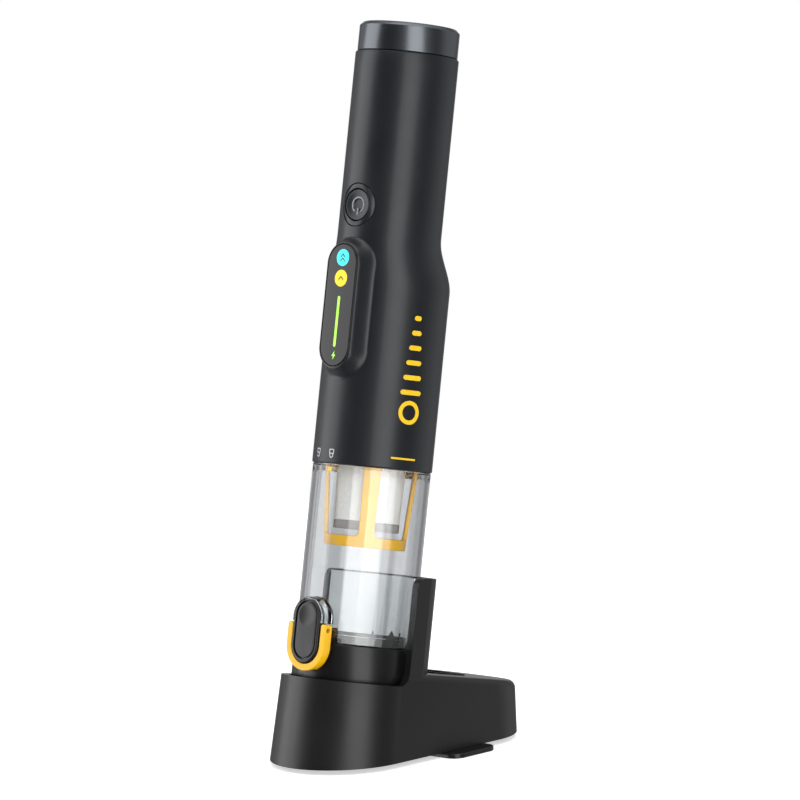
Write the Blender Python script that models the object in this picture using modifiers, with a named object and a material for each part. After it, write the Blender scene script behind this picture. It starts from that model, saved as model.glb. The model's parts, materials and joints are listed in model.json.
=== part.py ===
"""Cordless slim handheld vacuum standing nozzle-down in its storage dock.

Lengths are written in millimetres and turned to metres by MM.  Two empties carry the
pieces: GROUND is level, at the dock's underside where the vacuum's axis meets it, and
LEAN is the same point tilted back by TILT, so that its Z runs up the vacuum's axis and
its -Y faces the display side.  The tail of the dock points to +Y.
"""
import math

import bmesh
import bpy
from mathutils import Matrix

MM = 0.001
MERGE = 0.00001          # metres, for every modifier that merges
GAP = 0.3                # clearance kept between touching pieces

# ---------------------------------------------------------------- driving dimensions
TILT = math.radians(11.5)
FOOT_T = 2.4             # thickness of the dock's feet, which lift it off the table
DOCK_FRONT_R = 34.8      # dock front at its underside
DOCK_TAIL_END = 101.0    # rear end of the dock, from the foot of the axis
AXIS_Y = (DOCK_FRONT_R - DOCK_TAIL_END) / 2

CUP_R = 28.0             # outside of the clear cup
CUP_WALL = 3.2
CUP_LOW = 53.3
JUNCTION = 137.0         # where the clear cup meets the body
NECK_TOP = 149.0
NECK_R = 25.0

BODY_R = 28.5            # outside of the wide part of the body
BODY_WALL = 2.2
HANDLE_R = 24.55
HANDLE_Y = -3.7          # the handle's axis, which brings its front nearly flush with the wide part
STEP_LOW = 222.0
STEP_HIGH = 247.0
SEAM = 332.5
CAP_R = 23.8
CAP_BEVEL = 1.7
CAP_SPIGOT_R = 22.0
CAP_TOP = 346.5

DOCK_RIM = 36.0
DOCK_TOP = 42.5          # tail's top, a plane square to the vacuum's axis
WELL_R = 29.6
WELL_FLOOR = 5.6
SPINE_TOP = 87.6
SPINE_R = 36.0
SPINE_Y = -0.6
SPINE_HALF = 33.0        # the spine's sides are flush with the dock's walls
SPINE_EDGE = 5.0         # front edge of the spine behind the axis
DOCK_WALL = 2.6
SLOT = (17.0, 47.0, 67.0)        # half width, front and rear of the accessory slot
SLOT_FLOOR = 9.0

COVER_R = 28.4
COVER_TOP = 52.9
SPIGOT_R = CUP_R - CUP_WALL - 0.4
SPIGOT_BORE = 23.1
TAB_HALF = 12.0          # half width of the cover's tab behind the latch
TAB_TOP = 55.4
DUCT = (7.3, 13.7)       # centre of the intake duct
DUCT_R = 7.2
DUCT_BORE = 5.4

CAGE_ARM = 7.0
CAGE_RING_R = 19.3
CAGE_LOW = 99.0

LATCH_PIN = (-31.3, 58.9)        # Y and Z of the latch's pivot
LATCH_FACE = -34.0
LATCH_BACK = -30.9
ROCKER_HALF, ROCKER_LOW, ROCKER_HIGH = 8.4, 42.8, 72.7
BAIL_HALF, BAIL_INNER, BAIL_CENTRE = 12.2, 9.2, 51.4
BAIL_FACE, BAIL_BACK, BAIL_TOP = -33.2, -28.8, 61.6
POCKET_FLOOR = -29.3
DISH_R, DISH_Z, DISH_DEPTH = 14.0, 65.0, 1.2
BUTTON_Z = 259.0
BUTTON_R = 7.4
RING_R = 10.1
LENS_LOW, LENS_HIGH, LENS_W = 182.4, 239.9, 18.5
ISLAND_FACE = -33.4
PORT_HINGE = (0.0, 20.9, 319.6)

CELL_R, CELL_L, CELL_LOW = 9.2, 65.0, 250.0
CROWN_TURN = math.radians(-40)   # direction from the flap's hinge across the duct
FLAP_HINGE = (DUCT[0] - 6.0 * math.cos(CROWN_TURN), DUCT[1] - 6.0 * math.sin(CROWN_TURN), 58.1)
DOCK_SCREWS = [(28.0, 50.0), (-28.0, 50.0), (0.0, 88.0)]


# ---------------------------------------------------------------- scene and materials
def clear_scene():
    for obj in list(bpy.data.objects):
        bpy.data.objects.remove(obj)
    for collection in list(bpy.data.collections):
        bpy.data.collections.remove(collection)


def new_collection(name):
    collection = bpy.data.collections.new(name)
    bpy.context.scene.collection.children.link(collection)
    return collection


def new_empty(name, location, tilt):
    empty = bpy.data.objects.new(name, None)
    empty.location = [value * MM for value in location]
    empty.rotation_euler = (-tilt, 0, 0)
    empty.empty_display_size = 10 * MM
    PARTS.objects.link(empty)
    return empty


def new_material(name, color, roughness, metallic=0.0, alpha=1.0):
    material = bpy.data.materials.new(name)
    material.use_nodes = True
    shader = material.node_tree.nodes["Principled BSDF"]
    shader.inputs["Base Color"].default_value = (*color, 1)
    shader.inputs["Roughness"].default_value = roughness
    shader.inputs["Metallic"].default_value = metallic
    shader.inputs["Alpha"].default_value = alpha
    return material


clear_scene()
PARTS = new_collection("handheld_vacuum")
CUTTERS = new_collection("cutters")
GROUND = new_empty("ground", (0, AXIS_Y, FOOT_T), 0.0)
LEAN = new_empty("lean", (0, AXIS_Y, FOOT_T), TILT)
BODY_GREY = new_material("body_grey", (0.034, 0.037, 0.043), 0.42)
GLOSS_BLACK = new_material("gloss_black", (0.01, 0.01, 0.011), 0.1)
CAP_METAL = new_material("cap_metal", (0.08, 0.085, 0.09), 0.25, 0.8)
DOCK_BLACK = new_material("dock_black", (0.016, 0.016, 0.017), 0.45)
YELLOW = new_material("yellow_plastic", (0.87, 0.53, 0.015), 0.35)
CLEAR = new_material("clear_plastic", (0.9, 0.92, 0.93), 0.05, alpha=0.3)
WHITE = new_material("filter_white", (0.75, 0.75, 0.74), 0.8)
RUBBER = new_material("black_rubber", (0.02, 0.02, 0.02), 0.8)
STEEL = new_material("steel", (0.55, 0.56, 0.58), 0.3, 1.0)
BOARD = new_material("board_green", (0.02, 0.12, 0.05), 0.5)
CELL_BLUE = new_material("cell_wrap", (0.03, 0.16, 0.35), 0.4)


# ---------------------------------------------------------------- modelling helpers
def place(obj, material, parent=None, at=(0, 0, 0), turn=(0, 0, 0)):
    """Put an object in the parts collection, or with no material among the cutters."""
    obj.parent = parent or LEAN
    obj.location = [value * MM for value in at]
    obj.rotation_euler = turn
    if material is None:
        CUTTERS.objects.link(obj)
        obj.hide_render = True
        obj.display_type = "WIRE"
    else:
        PARTS.objects.link(obj)
        obj.data.materials.clear()
        obj.data.materials.append(material)
    return obj


def from_bmesh(name, bm, material, parent=None, at=(0, 0, 0), turn=(0, 0, 0), smooth=True):
    mesh = bpy.data.meshes.new(name)
    bmesh.ops.scale(bm, vec=(MM, MM, MM), verts=bm.verts)
    bm.to_mesh(mesh)
    bm.free()
    if smooth:
        mesh.shade_smooth()
        mesh.set_sharp_from_angle(angle=math.radians(35))
    return place(bpy.data.objects.new(name, mesh), material, parent, at, turn)


def turned(name, profile, material, steps=48, at=(0, 0, 0), turn=(0, 0, 0), parent=None):
    """Spin a profile of (radius, height) points; a closed one makes a ring."""
    mesh = bpy.data.meshes.new(name)
    closed = profile[0][0] > 0
    count = len(profile)
    edges = [(i, (i + 1) % count) for i in range(count if closed else count - 1)]
    mesh.from_pydata([(r * MM, 0, z * MM) for r, z in profile], edges, [])
    obj = place(bpy.data.objects.new(name, mesh), material, parent, at, turn)
    screw = obj.modifiers.new("spin", "SCREW")
    screw.angle = math.tau
    screw.steps = screw.render_steps = steps
    screw.use_merge_vertices = True
    screw.merge_threshold = MERGE
    screw.use_smooth_shade = True
    return obj


def disc(name, radius, low, high, material, steps=32, at=(0, 0), turn=(0, 0, 0), parent=None):
    return turned(name, [(0, high), (radius, high), (radius, low), (0, low)], material, steps,
                  (at[0], at[1], 0), turn, parent)


def ring(name, outer, inner, low, high, material, steps=48, at=(0, 0), parent=None):
    profile = [(outer, high), (outer, low), (inner, low), (inner, high)]
    return turned(name, profile, material, steps, (at[0], at[1], 0), parent=parent)


def front_disc(name, radius, inner_y, outer_y, z, material, steps=28, x=0.0):
    """A round piece whose axis points out of the front: -Y of the leaning frame."""
    profile = [(0, -outer_y), (radius, -outer_y), (radius, -inner_y), (0, -inner_y)]
    return turned(name, profile, material, steps, (x, 0, z), (math.pi / 2, 0, 0))


def block(name, low, high, material, bevel=0.0, parent=None, turn=(0, 0, 0), segments=2):
    """A box between two corners, with an optional rounded edge."""
    centre = [(a + b) / 2 for a, b in zip(low, high)]
    size = [b - a for a, b in zip(low, high)]
    bm = bmesh.new()
    bmesh.ops.create_cube(bm, size=1)
    bmesh.ops.scale(bm, vec=size, verts=bm.verts)
    if bevel:
        bmesh.ops.bevel(bm, geom=bm.edges[:], offset=bevel, segments=segments, profile=0.5,
                        affect="EDGES", clamp_overlap=True)
    return from_bmesh(name, bm, material, parent, centre, turn)


def plate(name, outline, low, high, material, parent=None, at=(0, 0, 0), turn=(0, 0, 0),
          hole=None):
    """A flat outline in XY, with an optional hole, filled between two heights."""
    curve = bpy.data.curves.new(name, "CURVE")
    curve.dimensions = "2D"
    curve.fill_mode = "BOTH"
    curve.extrude = (high - low) / 2 * MM
    for points in [outline] + ([hole] if hole else []):
        spline = curve.splines.new("POLY")
        spline.points.add(len(points) - 1)
        for point, (x, y) in zip(spline.points, points):
            point.co = (x * MM, y * MM, 0, 1)
        spline.use_cyclic_u = True
    flat = bpy.data.objects.new(name + "_outline", curve)
    bpy.context.scene.collection.objects.link(flat)
    depsgraph = bpy.context.evaluated_depsgraph_get()
    mesh = bpy.data.meshes.new_from_object(flat.evaluated_get(depsgraph))
    bpy.data.objects.remove(flat)
    bm = bmesh.new()
    bm.from_mesh(mesh)
    bmesh.ops.remove_doubles(bm, verts=bm.verts, dist=MERGE)
    bmesh.ops.recalc_face_normals(bm, faces=bm.faces)
    bmesh.ops.translate(bm, verts=bm.verts, vec=(0, 0, (high + low) / 2 * MM))
    bm.to_mesh(mesh)
    bm.free()
    mesh.name = name
    return place(bpy.data.objects.new(name, mesh), material, parent, at, turn)


def front_plate(name, outline, inner_y, outer_y, material, hole=None):
    """A flat outline in X and Z of the leaning frame, standing out of the front."""
    return plate(name, outline, -inner_y, -outer_y, material, turn=(math.pi / 2, 0, 0),
                 hole=hole)


def wire(name, points, radius, material, at=(0, 0, 0), resolution=1):
    """A round wire through the points, made a mesh with welded ends."""
    curve = bpy.data.curves.new(name, "CURVE")
    curve.dimensions = "3D"
    curve.bevel_depth = radius * MM
    curve.bevel_resolution = resolution
    curve.use_fill_caps = True
    spline = curve.splines.new("POLY")
    spline.points.add(len(points) - 1)
    for point, place_at in zip(spline.points, points):
        point.co = (*[value * MM for value in place_at], 1)
    route = bpy.data.objects.new(name + "_route", curve)
    bpy.context.scene.collection.objects.link(route)
    depsgraph = bpy.context.evaluated_depsgraph_get()
    mesh = bpy.data.meshes.new_from_object(route.evaluated_get(depsgraph))
    bpy.data.objects.remove(route)
    bm = bmesh.new()
    bm.from_mesh(mesh)
    bmesh.ops.remove_doubles(bm, verts=bm.verts, dist=MERGE)
    bmesh.ops.recalc_face_normals(bm, faces=bm.faces)
    bm.to_mesh(mesh)
    bm.free()
    mesh.name = name
    return place(bpy.data.objects.new(name, mesh), material, None, at)


def boolean(obj, cutter, operation="DIFFERENCE"):
    modifier = obj.modifiers.new(operation.lower(), "BOOLEAN")
    modifier.operation = operation
    modifier.object = cutter
    modifier.solver = "EXACT"


def arc(centre, radius, start, end, steps):
    """Points on an arc; angles in degrees, counted from +X towards +Y."""
    return [(centre[0] + radius * math.cos(math.radians(start + (end - start) * i / steps)),
             centre[1] + radius * math.sin(math.radians(start + (end - start) * i / steps)))
            for i in range(steps + 1)]


def stadium(half_width, low, high, steps=10):
    """An upright stadium: straight sides and round ends."""
    return (arc((0, high - half_width), half_width, 0, 180, steps)
            + arc((0, low + half_width), half_width, 180, 360, steps))


def rounded(half_x, low_y, high_y, radius, steps=5):
    corners = [(half_x - radius, high_y - radius, 0), (-half_x + radius, high_y - radius, 90),
               (-half_x + radius, low_y + radius, 180), (half_x - radius, low_y + radius, 270)]
    return [point for x, y, start in corners for point in arc((x, y), radius, start, start + 90, steps)]


def polar(radius, degrees):
    """X and Y at an angle counted from the front (-Y) towards +X."""
    return radius * math.sin(math.radians(degrees)), -radius * math.cos(math.radians(degrees))


def screw_piece(name, at, material, head=2.4, shank=1.3, length=8.0, parent=None, turn=(0, 0, 0)):
    """A pan-head screw, head down, with a cross recess left to the finish."""
    profile = [(0, length), (shank, length - 0.6), (shank, 1.6), (head, 1.2), (head, 0), (0, 0)]
    return turned(name, profile, material, 16, at, turn, parent)


def pivot(name, at):
    """An empty on a joint's axis, for the pieces that turn about it."""
    empty = bpy.data.objects.new(name, None)
    empty.parent = LEAN
    empty.location = [value * MM for value in at]
    empty.empty_display_size = 5 * MM
    PARTS.objects.link(empty)
    return empty


def hang(obj, empty):
    """Parent a piece to a pivot without moving it."""
    obj.location = obj.location - empty.location
    obj.parent = empty


# ---------------------------------------------------------------- the dock
def dock_outline(front_r, centre_y, squash, corner=31.0, half=5.0, steps=24, inset=0.0):
    """Plan of the dock: a round front, sides that open slightly, and a round tail."""
    front = [(front_r * math.sin(math.radians(a)), centre_y - front_r * squash * math.cos(math.radians(a)))
             for a in [-90 + 180 * i / steps for i in range(steps + 1)]]
    tail_y = DOCK_TAIL_END - corner
    radius = corner - inset
    rear = arc((half, tail_y), radius, 0, 90, 8) + arc((-half, tail_y), radius, 90, 180, 8)
    return front + rear


def dock_section(bm, level, front_r, inset=0.0, floor=None):
    """One loop of the dock's wall: level on the table, or square to the leaning axis."""
    if floor is not None:
        points = [(x, y, floor) for x, y in dock_outline(front_r, 0.0, 1.0, inset=inset)]
    else:
        centre = level * math.sin(TILT)
        points = [(x, y, (level - y * math.sin(TILT)) / math.cos(TILT))
                  for x, y in dock_outline(front_r, centre, math.cos(TILT), inset=inset)]
    loop = [bm.verts.new(point) for point in points]
    return loop


def dock_block(name, inset, low, top, bevel, material):
    """The dock's outer block, or with an inset the hollow inside it."""
    bm = bmesh.new()
    lower = dock_section(bm, 0, DOCK_FRONT_R - inset, inset, floor=low)
    upper = dock_section(bm, top, DOCK_FRONT_R - 1.9 - inset, inset)
    count = len(lower)
    for i in range(count):
        j = (i + 1) % count
        bm.faces.new((lower[i], lower[j], upper[j], upper[i]))
    bm.faces.new(reversed(lower))
    roof = bm.faces.new(upper)
    bmesh.ops.recalc_face_normals(bm, faces=bm.faces)
    if bevel:
        bmesh.ops.bevel(bm, geom=roof.edges[:], offset=bevel, segments=4, profile=0.5,
                        affect="EDGES", clamp_overlap=True)
    bmesh.ops.triangulate(bm, faces=bm.faces)
    return from_bmesh(name, bm, material, GROUND)


def leaning_cylinder(name, radius, low, high, floor, centre_y=0.0, steps=48):
    """A cylinder along the leaning axis, cut off level at the given height."""
    bm = bmesh.new()
    bmesh.ops.create_cone(bm, cap_ends=True, segments=steps, radius1=radius, radius2=radius,
                          depth=high - low)
    bmesh.ops.translate(bm, verts=bm.verts, vec=(0, centre_y, (high + low) / 2))
    bmesh.ops.rotate(bm, verts=bm.verts, cent=(0, 0, 0), matrix=Matrix.Rotation(-TILT, 3, "X"))
    cut = bmesh.ops.bisect_plane(bm, geom=bm.verts[:] + bm.edges[:] + bm.faces[:],
                                 plane_co=(0, 0, floor), plane_no=(0, 0, 1), clear_inner=True)
    edges = [item for item in cut["geom_cut"] if isinstance(item, bmesh.types.BMEdge)]
    bmesh.ops.edgeloop_fill(bm, edges=edges)
    bmesh.ops.recalc_face_normals(bm, faces=bm.faces)
    return from_bmesh(name, bm, None, GROUND)


def spine_front_cutter():
    """Everything in front of the spine and above the rim, with a rounded foot."""
    fillet = DOCK_TOP - DOCK_RIM
    foot = SPINE_EDGE - fillet
    outline = [(-60, DOCK_RIM)] + arc((foot, DOCK_TOP), fillet, 270, 360, 6)
    outline += [(SPINE_EDGE, 120), (-60, 120)]
    return plate("cut_spine_front", outline, -45, 45, None,
                 turn=(math.pi / 2, 0, math.pi / 2))


def build_dock():
    dock = dock_block("dock_body", 0.0, 0.0, DOCK_TOP, 3.5, DOCK_BLACK)
    spine = leaning_cylinder("cut_spine", SPINE_R, 12, SPINE_TOP, 2, SPINE_Y)
    behind = block("cut_spine_half", (-SPINE_HALF, SPINE_EDGE, 0), (SPINE_HALF, 80, 120), None)
    boolean(spine, behind, "INTERSECT")
    boolean(dock, spine, "UNION")
    boolean(dock, spine_front_cutter())

    hollow = dock_block("cut_dock_hollow", DOCK_WALL, -2.0, DOCK_TOP - DOCK_WALL, 0, None)
    boolean(hollow, leaning_cylinder("cut_well_sleeve", WELL_R + 3.6, -10, 120, 3.0))
    half, front, rear = SLOT
    sleeve = plate("cut_slot_sleeve", rounded(half + 2, front - 2, rear + 2, 4), SLOT_FLOOR - 2, 60,
                   None, GROUND)
    boolean(hollow, sleeve)
    for index, (x, y) in enumerate(DOCK_SCREWS):
        boolean(hollow, disc(f"cut_boss_{index}", 3.6, 3.2, 60, None, 16, (x, y), parent=GROUND))
    boolean(dock, leaning_cylinder("cut_well", WELL_R, -30, 120, WELL_FLOOR))
    boolean(dock, plate("cut_slot", rounded(half, front, rear, 3), SLOT_FLOOR, 60, None, GROUND))
    boolean(dock, hollow)
    for index, (x, y) in enumerate(DOCK_SCREWS):
        boolean(dock, disc(f"cut_screw_{index}", 1.6, -1, 12, None, 12, (x, y), parent=GROUND))


def build_dock_underside():
    inset = DOCK_WALL + 0.4
    lean_room = 1.1          # the front wall leans back over the plate
    outline = dock_outline(DOCK_FRONT_R - inset - lean_room, 0.0, 1.0, inset=inset)
    base = plate("dock_base_plate", outline, 0.2, 2.4, DOCK_BLACK, GROUND)
    for index, (x, y) in enumerate(DOCK_SCREWS):
        boolean(base, disc(f"cut_base_{index}", 2.8, -1, 4, None, 16, (x, y), parent=GROUND))
        screw_piece(f"dock_screw_{index + 1}", (x, y, 0.5), STEEL, parent=GROUND)
    disc("dock_front_foot", 23.0, -FOOT_T, -0.1, RUBBER, 40, parent=GROUND)
    plate("dock_rear_foot", rounded(44.0, 31.0, 60.5, 6), -FOOT_T, -0.1, DOCK_BLACK, GROUND)


# ---------------------------------------------------------------- nozzle cover and intake
def build_nozzle_cover():
    profile = [(0, 49), (SPIGOT_BORE, 49), (SPIGOT_BORE, 57.5), (SPIGOT_R, 57.5),
               (SPIGOT_R, COVER_TOP), (COVER_R, COVER_TOP), (COVER_R, 30), (20.5, 12), (18.3, 12),
               (26.2, 31), (26.2, 46.5), (0, 46.5)]
    cover = turned("nozzle_cover", profile, DOCK_BLACK, 48)
    boolean(cover, disc("cut_duct_hole", DUCT_R + GAP, 40, 55, None, 24, DUCT))
    boolean(cover, block("cut_catch", (-4, -30.0, 42), (4, -27.0, 46), None), "UNION")
    tab = ring("cut_tab", COVER_R, SPIGOT_R - 0.5, COVER_TOP - 2, TAB_TOP, None)
    boolean(tab, block("cut_tab_width", (-TAB_HALF, -40, 50), (TAB_HALF, 0, 60), None), "INTERSECT")
    boolean(cover, tab, "UNION")
    ring("cover_seal", SPIGOT_R, SPIGOT_BORE, 57.8, 59.4, RUBBER, 40)


def crown_height(degrees):
    """Height of the intake's crown: spikes on the side away from the flap's hinge."""
    reach = max(0.0, math.cos(math.radians(degrees))) ** 0.5
    return 58.0 + 5.2 * reach * abs(math.cos(math.radians(degrees * 2.2))) ** 4


def build_intake():
    """The duct that lets the dust into the cup, with its crown and its rubber flap."""
    bm = bmesh.new()
    steps = 32
    levels = []
    for radius, height in ((DUCT_R, 46.8), (DUCT_R, None), (6.35, None), (6.35, 57.4),
                           (DUCT_BORE, 57.4), (DUCT_BORE, 46.8)):
        loop = []
        for i in range(steps):
            degrees = 360 * i / steps
            z = crown_height((degrees + 180) % 360 - 180) if height is None else height
            angle = math.radians(degrees) + CROWN_TURN
            loop.append(bm.verts.new((radius * math.cos(angle), radius * math.sin(angle), z)))
        levels.append(loop)
    for lower, upper in zip(levels, levels[1:] + levels[:1]):
        for i in range(steps):
            j = (i + 1) % steps
            bm.faces.new((lower[i], lower[j], upper[j], upper[i]))
    bmesh.ops.recalc_face_normals(bm, faces=bm.faces)
    from_bmesh("intake_duct", bm, RUBBER, at=(*DUCT, 0))
    hinge = pivot("flap_hinge", FLAP_HINGE)
    hang(disc("intake_flap", 6.0, 57.7, 58.5, RUBBER, 24, DUCT), hinge)


# ---------------------------------------------------------------- the clear cup and its latch
def build_cup():
    profile = [(NECK_R, NECK_TOP), (NECK_R, JUNCTION - GAP), (CUP_R, JUNCTION - GAP), (CUP_R, CUP_LOW),
               (CUP_R - CUP_WALL, CUP_LOW), (CUP_R - CUP_WALL, 133.5), (23.4, 137), (23.4, NECK_TOP)]
    cup = turned("dust_cup", profile, CLEAR, 48)
    boss = front_plate("cut_boss_block", [(-9.8, 62.0), (9.8, 62.0)] + arc((0, 64.1), 9.8, 0, 180, 12),
                       -24.5, -33.4, None)
    boolean(boss, disc("cut_cup_inside", CUP_R - 1.0, 50, 140, None, 48))
    boolean(cup, boss, "UNION")
    boolean(cup, front_plate("cut_latch_pocket", stadium(ROCKER_HALF + 0.5, 37, ROCKER_HIGH + 0.5),
                             POCKET_FLOOR, -40, None))
    notch = TAB_HALF + 0.4
    boolean(cup, block("cut_tab_notch", (-notch, -40, 50), (notch, -15, TAB_TOP + 0.4), None))
    hole = disc("cut_pin_hole", 1.0, -12, 12, None, 14, (0, 0), (0, math.pi / 2, 0))
    hole.location = (0, LATCH_PIN[0] * MM, LATCH_PIN[1] * MM)
    for side in (-1, 1):
        low, high = sorted((side * 4.2, side * 7.0))
        lug = block(f"cut_lug_{side}", (low, -32.9, 56.8), (high, -26.9, 61.0), None)
        boolean(cup, lug, "UNION")
    boolean(cup, hole)
    for index, angle in enumerate((60, 180, 300)):
        x, y = polar(25.0, angle)
        lug = block(f"cut_bayonet_{index}", (-2.4, -0.7, 140), (2.4, 0.7, 143), None)
        lug.location = (x * MM, y * MM, 141.5 * MM)
        lug.rotation_euler = (0, 0, math.radians(angle))
        boolean(cup, lug, "UNION")
    pin = disc("latch_pin", 0.8, 0.8 - BAIL_HALF, BAIL_HALF - 0.8, STEEL, 14, (0, 0), (0, math.pi / 2, 0))
    pin.location = (0, LATCH_PIN[0] * MM, LATCH_PIN[1] * MM)


def build_latch():
    """A black rocker with a thumb dish, inside a yellow U-shaped bail."""
    rocker = pivot("latch_pivot", (0, *LATCH_PIN))
    button = front_plate("latch_button", stadium(ROCKER_HALF, ROCKER_LOW, ROCKER_HIGH), LATCH_BACK,
                         LATCH_FACE, DOCK_BLACK)
    bm = bmesh.new()
    bmesh.ops.create_uvsphere(bm, u_segments=32, v_segments=32, radius=DISH_R)
    boolean(button, from_bmesh("cut_dish", bm, None, at=(0, LATCH_FACE + DISH_DEPTH - DISH_R, DISH_Z),
                               turn=(math.pi / 2, 0, 0)))
    boolean(button, front_disc("cut_spring_seat", 3.0, LATCH_BACK + 1, -32.3, 66.5, None))
    for side in (-1, 1):
        low, high = sorted((side * 3.8, side * 7.6))
        boolean(button, block(f"cut_lug_room_{side}", (low, -33.2, 56.2), (high, -29, 61.6), None))
    axle = disc("cut_axle", 1.15, -14, 14, None, 14, (0, 0), (0, math.pi / 2, 0))
    axle.location = (0, LATCH_PIN[0] * MM, LATCH_PIN[1] * MM)
    boolean(button, axle)
    ear = [(BAIL_HALF, BAIL_TOP - 1.2), (BAIL_HALF - 1.0, BAIL_TOP), (BAIL_INNER + 0.6, BAIL_TOP),
           (BAIL_INNER, BAIL_TOP - 0.8)]
    outer = arc((0, BAIL_CENTRE), BAIL_HALF, 180, 360, 16) + ear
    inner = arc((0, BAIL_CENTRE), BAIL_INNER, 360, 180, 16) + [(-x, z) for x, z in reversed(ear)]
    bail = front_plate("latch_bail", outer + inner, BAIL_BACK, BAIL_FACE, YELLOW)
    boolean(bail, axle)
    boolean(bail, block("cut_bail_notch", (-4.6, -30.4, 36), (4.6, -28, 47), None))
    turns, per_turn = 3, 8
    coil = [(2.2 * math.cos(math.tau * i / per_turn), 2.2 * math.sin(math.tau * i / per_turn),
             2.3 * i / (turns * per_turn)) for i in range(turns * per_turn + 1)]
    spring = wire("latch_spring", coil, 0.25, STEEL, (0, POCKET_FLOOR - 0.3, 66.5))
    spring.rotation_euler = (math.pi / 2, 0, 0)
    for piece in (button, bail, spring):
        hang(piece, rocker)


# ---------------------------------------------------------------- the filter
def build_filter():
    cage = ring("filter_cage", CAGE_RING_R, 16.9, CAGE_LOW, CAGE_LOW + 5, YELLOW, 40)
    profile = [(24.7, 151.3), (24.7, 149.4), (22.9, 149.4), (22.9, 138), (19.0, 138), (19.0, 151.3)]
    boolean(cage, turned("cut_cage_top", profile, None, 40), "UNION")
    slope = math.atan2(2.5, 34.5)
    for index in range(4):
        bm = bmesh.new()
        bmesh.ops.create_cube(bm, size=1)
        bmesh.ops.scale(bm, vec=(CAGE_ARM, 1.8, 38), verts=bm.verts)
        place_at = (Matrix.Rotation(math.radians(45 + 90 * index), 4, "Z")
                    @ Matrix.Translation((0, -18.15, 120.8)) @ Matrix.Rotation(slope, 4, "X"))
        bmesh.ops.transform(bm, matrix=place_at, verts=bm.verts)
        boolean(cage, from_bmesh(f"cut_cage_arm_{index}", bm, None), "UNION")
    profile = [(22.6, 153.2), (22.6, 151.6), (18.4, 151.6), (18.4, 141), (16.3, 139), (15.4, 111.3),
               (12.5, 111.3), (12.5, 153.2)]
    turned("filter_element", profile, WHITE, 40)
    disc("filter_end_cap", 15.6, 107, 111, WHITE, 40)
    ring("cup_seal", 25.4, 20.5, 153.5, 155.4, RUBBER, 40)


# ---------------------------------------------------------------- the body
def step_blend(z):
    """0 on the wide part of the body, 1 on the handle, with a soft step between."""
    t = min(1.0, max(0.0, (z - STEP_LOW) / (STEP_HIGH - STEP_LOW)))
    return t * t * (3 - 2 * t)


def body_section(z, inset):
    radius = BODY_R + (HANDLE_R - BODY_R) * step_blend(z)
    return radius - inset, HANDLE_Y * step_blend(z), z


def eccentric_tube(name, sections, material, steps=48):
    """A closed wall through circles given as (radius, centre y, height)."""
    bm = bmesh.new()
    levels = []
    for radius, centre_y, z in sections:
        circle = bmesh.ops.create_circle(bm, segments=steps, radius=radius)["verts"]
        bmesh.ops.translate(bm, verts=circle, vec=(0, centre_y, z))
        levels.append(circle)
    for lower, upper in zip(levels, levels[1:] + levels[:1]):
        for i in range(steps):
            j = (i + 1) % steps
            bm.faces.new((lower[i], lower[j], upper[j], upper[i]))
    bmesh.ops.recalc_face_normals(bm, faces=bm.faces)
    bmesh.ops.triangulate(bm, faces=bm.faces)
    return from_bmesh(name, bm, material)


def build_shell():
    heights = [JUNCTION, STEP_LOW]
    heights += [STEP_LOW + (STEP_HIGH - STEP_LOW) * i / 5 for i in range(1, 6)] + [SEAM]
    outside = [body_section(z, 0) for z in heights]
    inside = [body_section(z, BODY_WALL) for z in reversed(heights)]
    shell = eccentric_tube("main_shell", outside + inside, BODY_GREY)
    boolean(shell, front_disc("cut_button_hole", RING_R + GAP, -18, -34, BUTTON_Z, None, 32))
    pocket = block("cut_port_pocket", (-6.8, 12, 317.9), (6.8, 30, 327.7), None)
    boolean(pocket, disc("cut_port_floor", 23.1, 300, 340, None, 48, (0, HANDLE_Y)))
    boolean(shell, pocket)
    boolean(shell, block("cut_port_mouth", (-4.9, 12, 321.4), (4.9, 30, 325.6), None))
    island = front_plate("cut_island", stadium(12.2, LENS_LOW - 4.2, LENS_HIGH + 4.2, 12), -26.6,
                         ISLAND_FACE, None)
    rim = island.modifiers.new("soft_rim", "BEVEL")
    rim.width = 2.6 * MM
    rim.segments = 3
    rim.limit_method = "ANGLE"
    boolean(shell, island, "UNION")
    boolean(shell, front_plate("cut_lens", stadium(LENS_W / 2 + GAP, LENS_LOW - GAP, LENS_HIGH + GAP),
                               ISLAND_FACE + 2.0, -40, None))
    front_plate("display_lens", stadium(LENS_W / 2, LENS_LOW, LENS_HIGH), ISLAND_FACE + 1.7,
                ISLAND_FACE - 0.1, GLOSS_BLACK)


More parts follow.
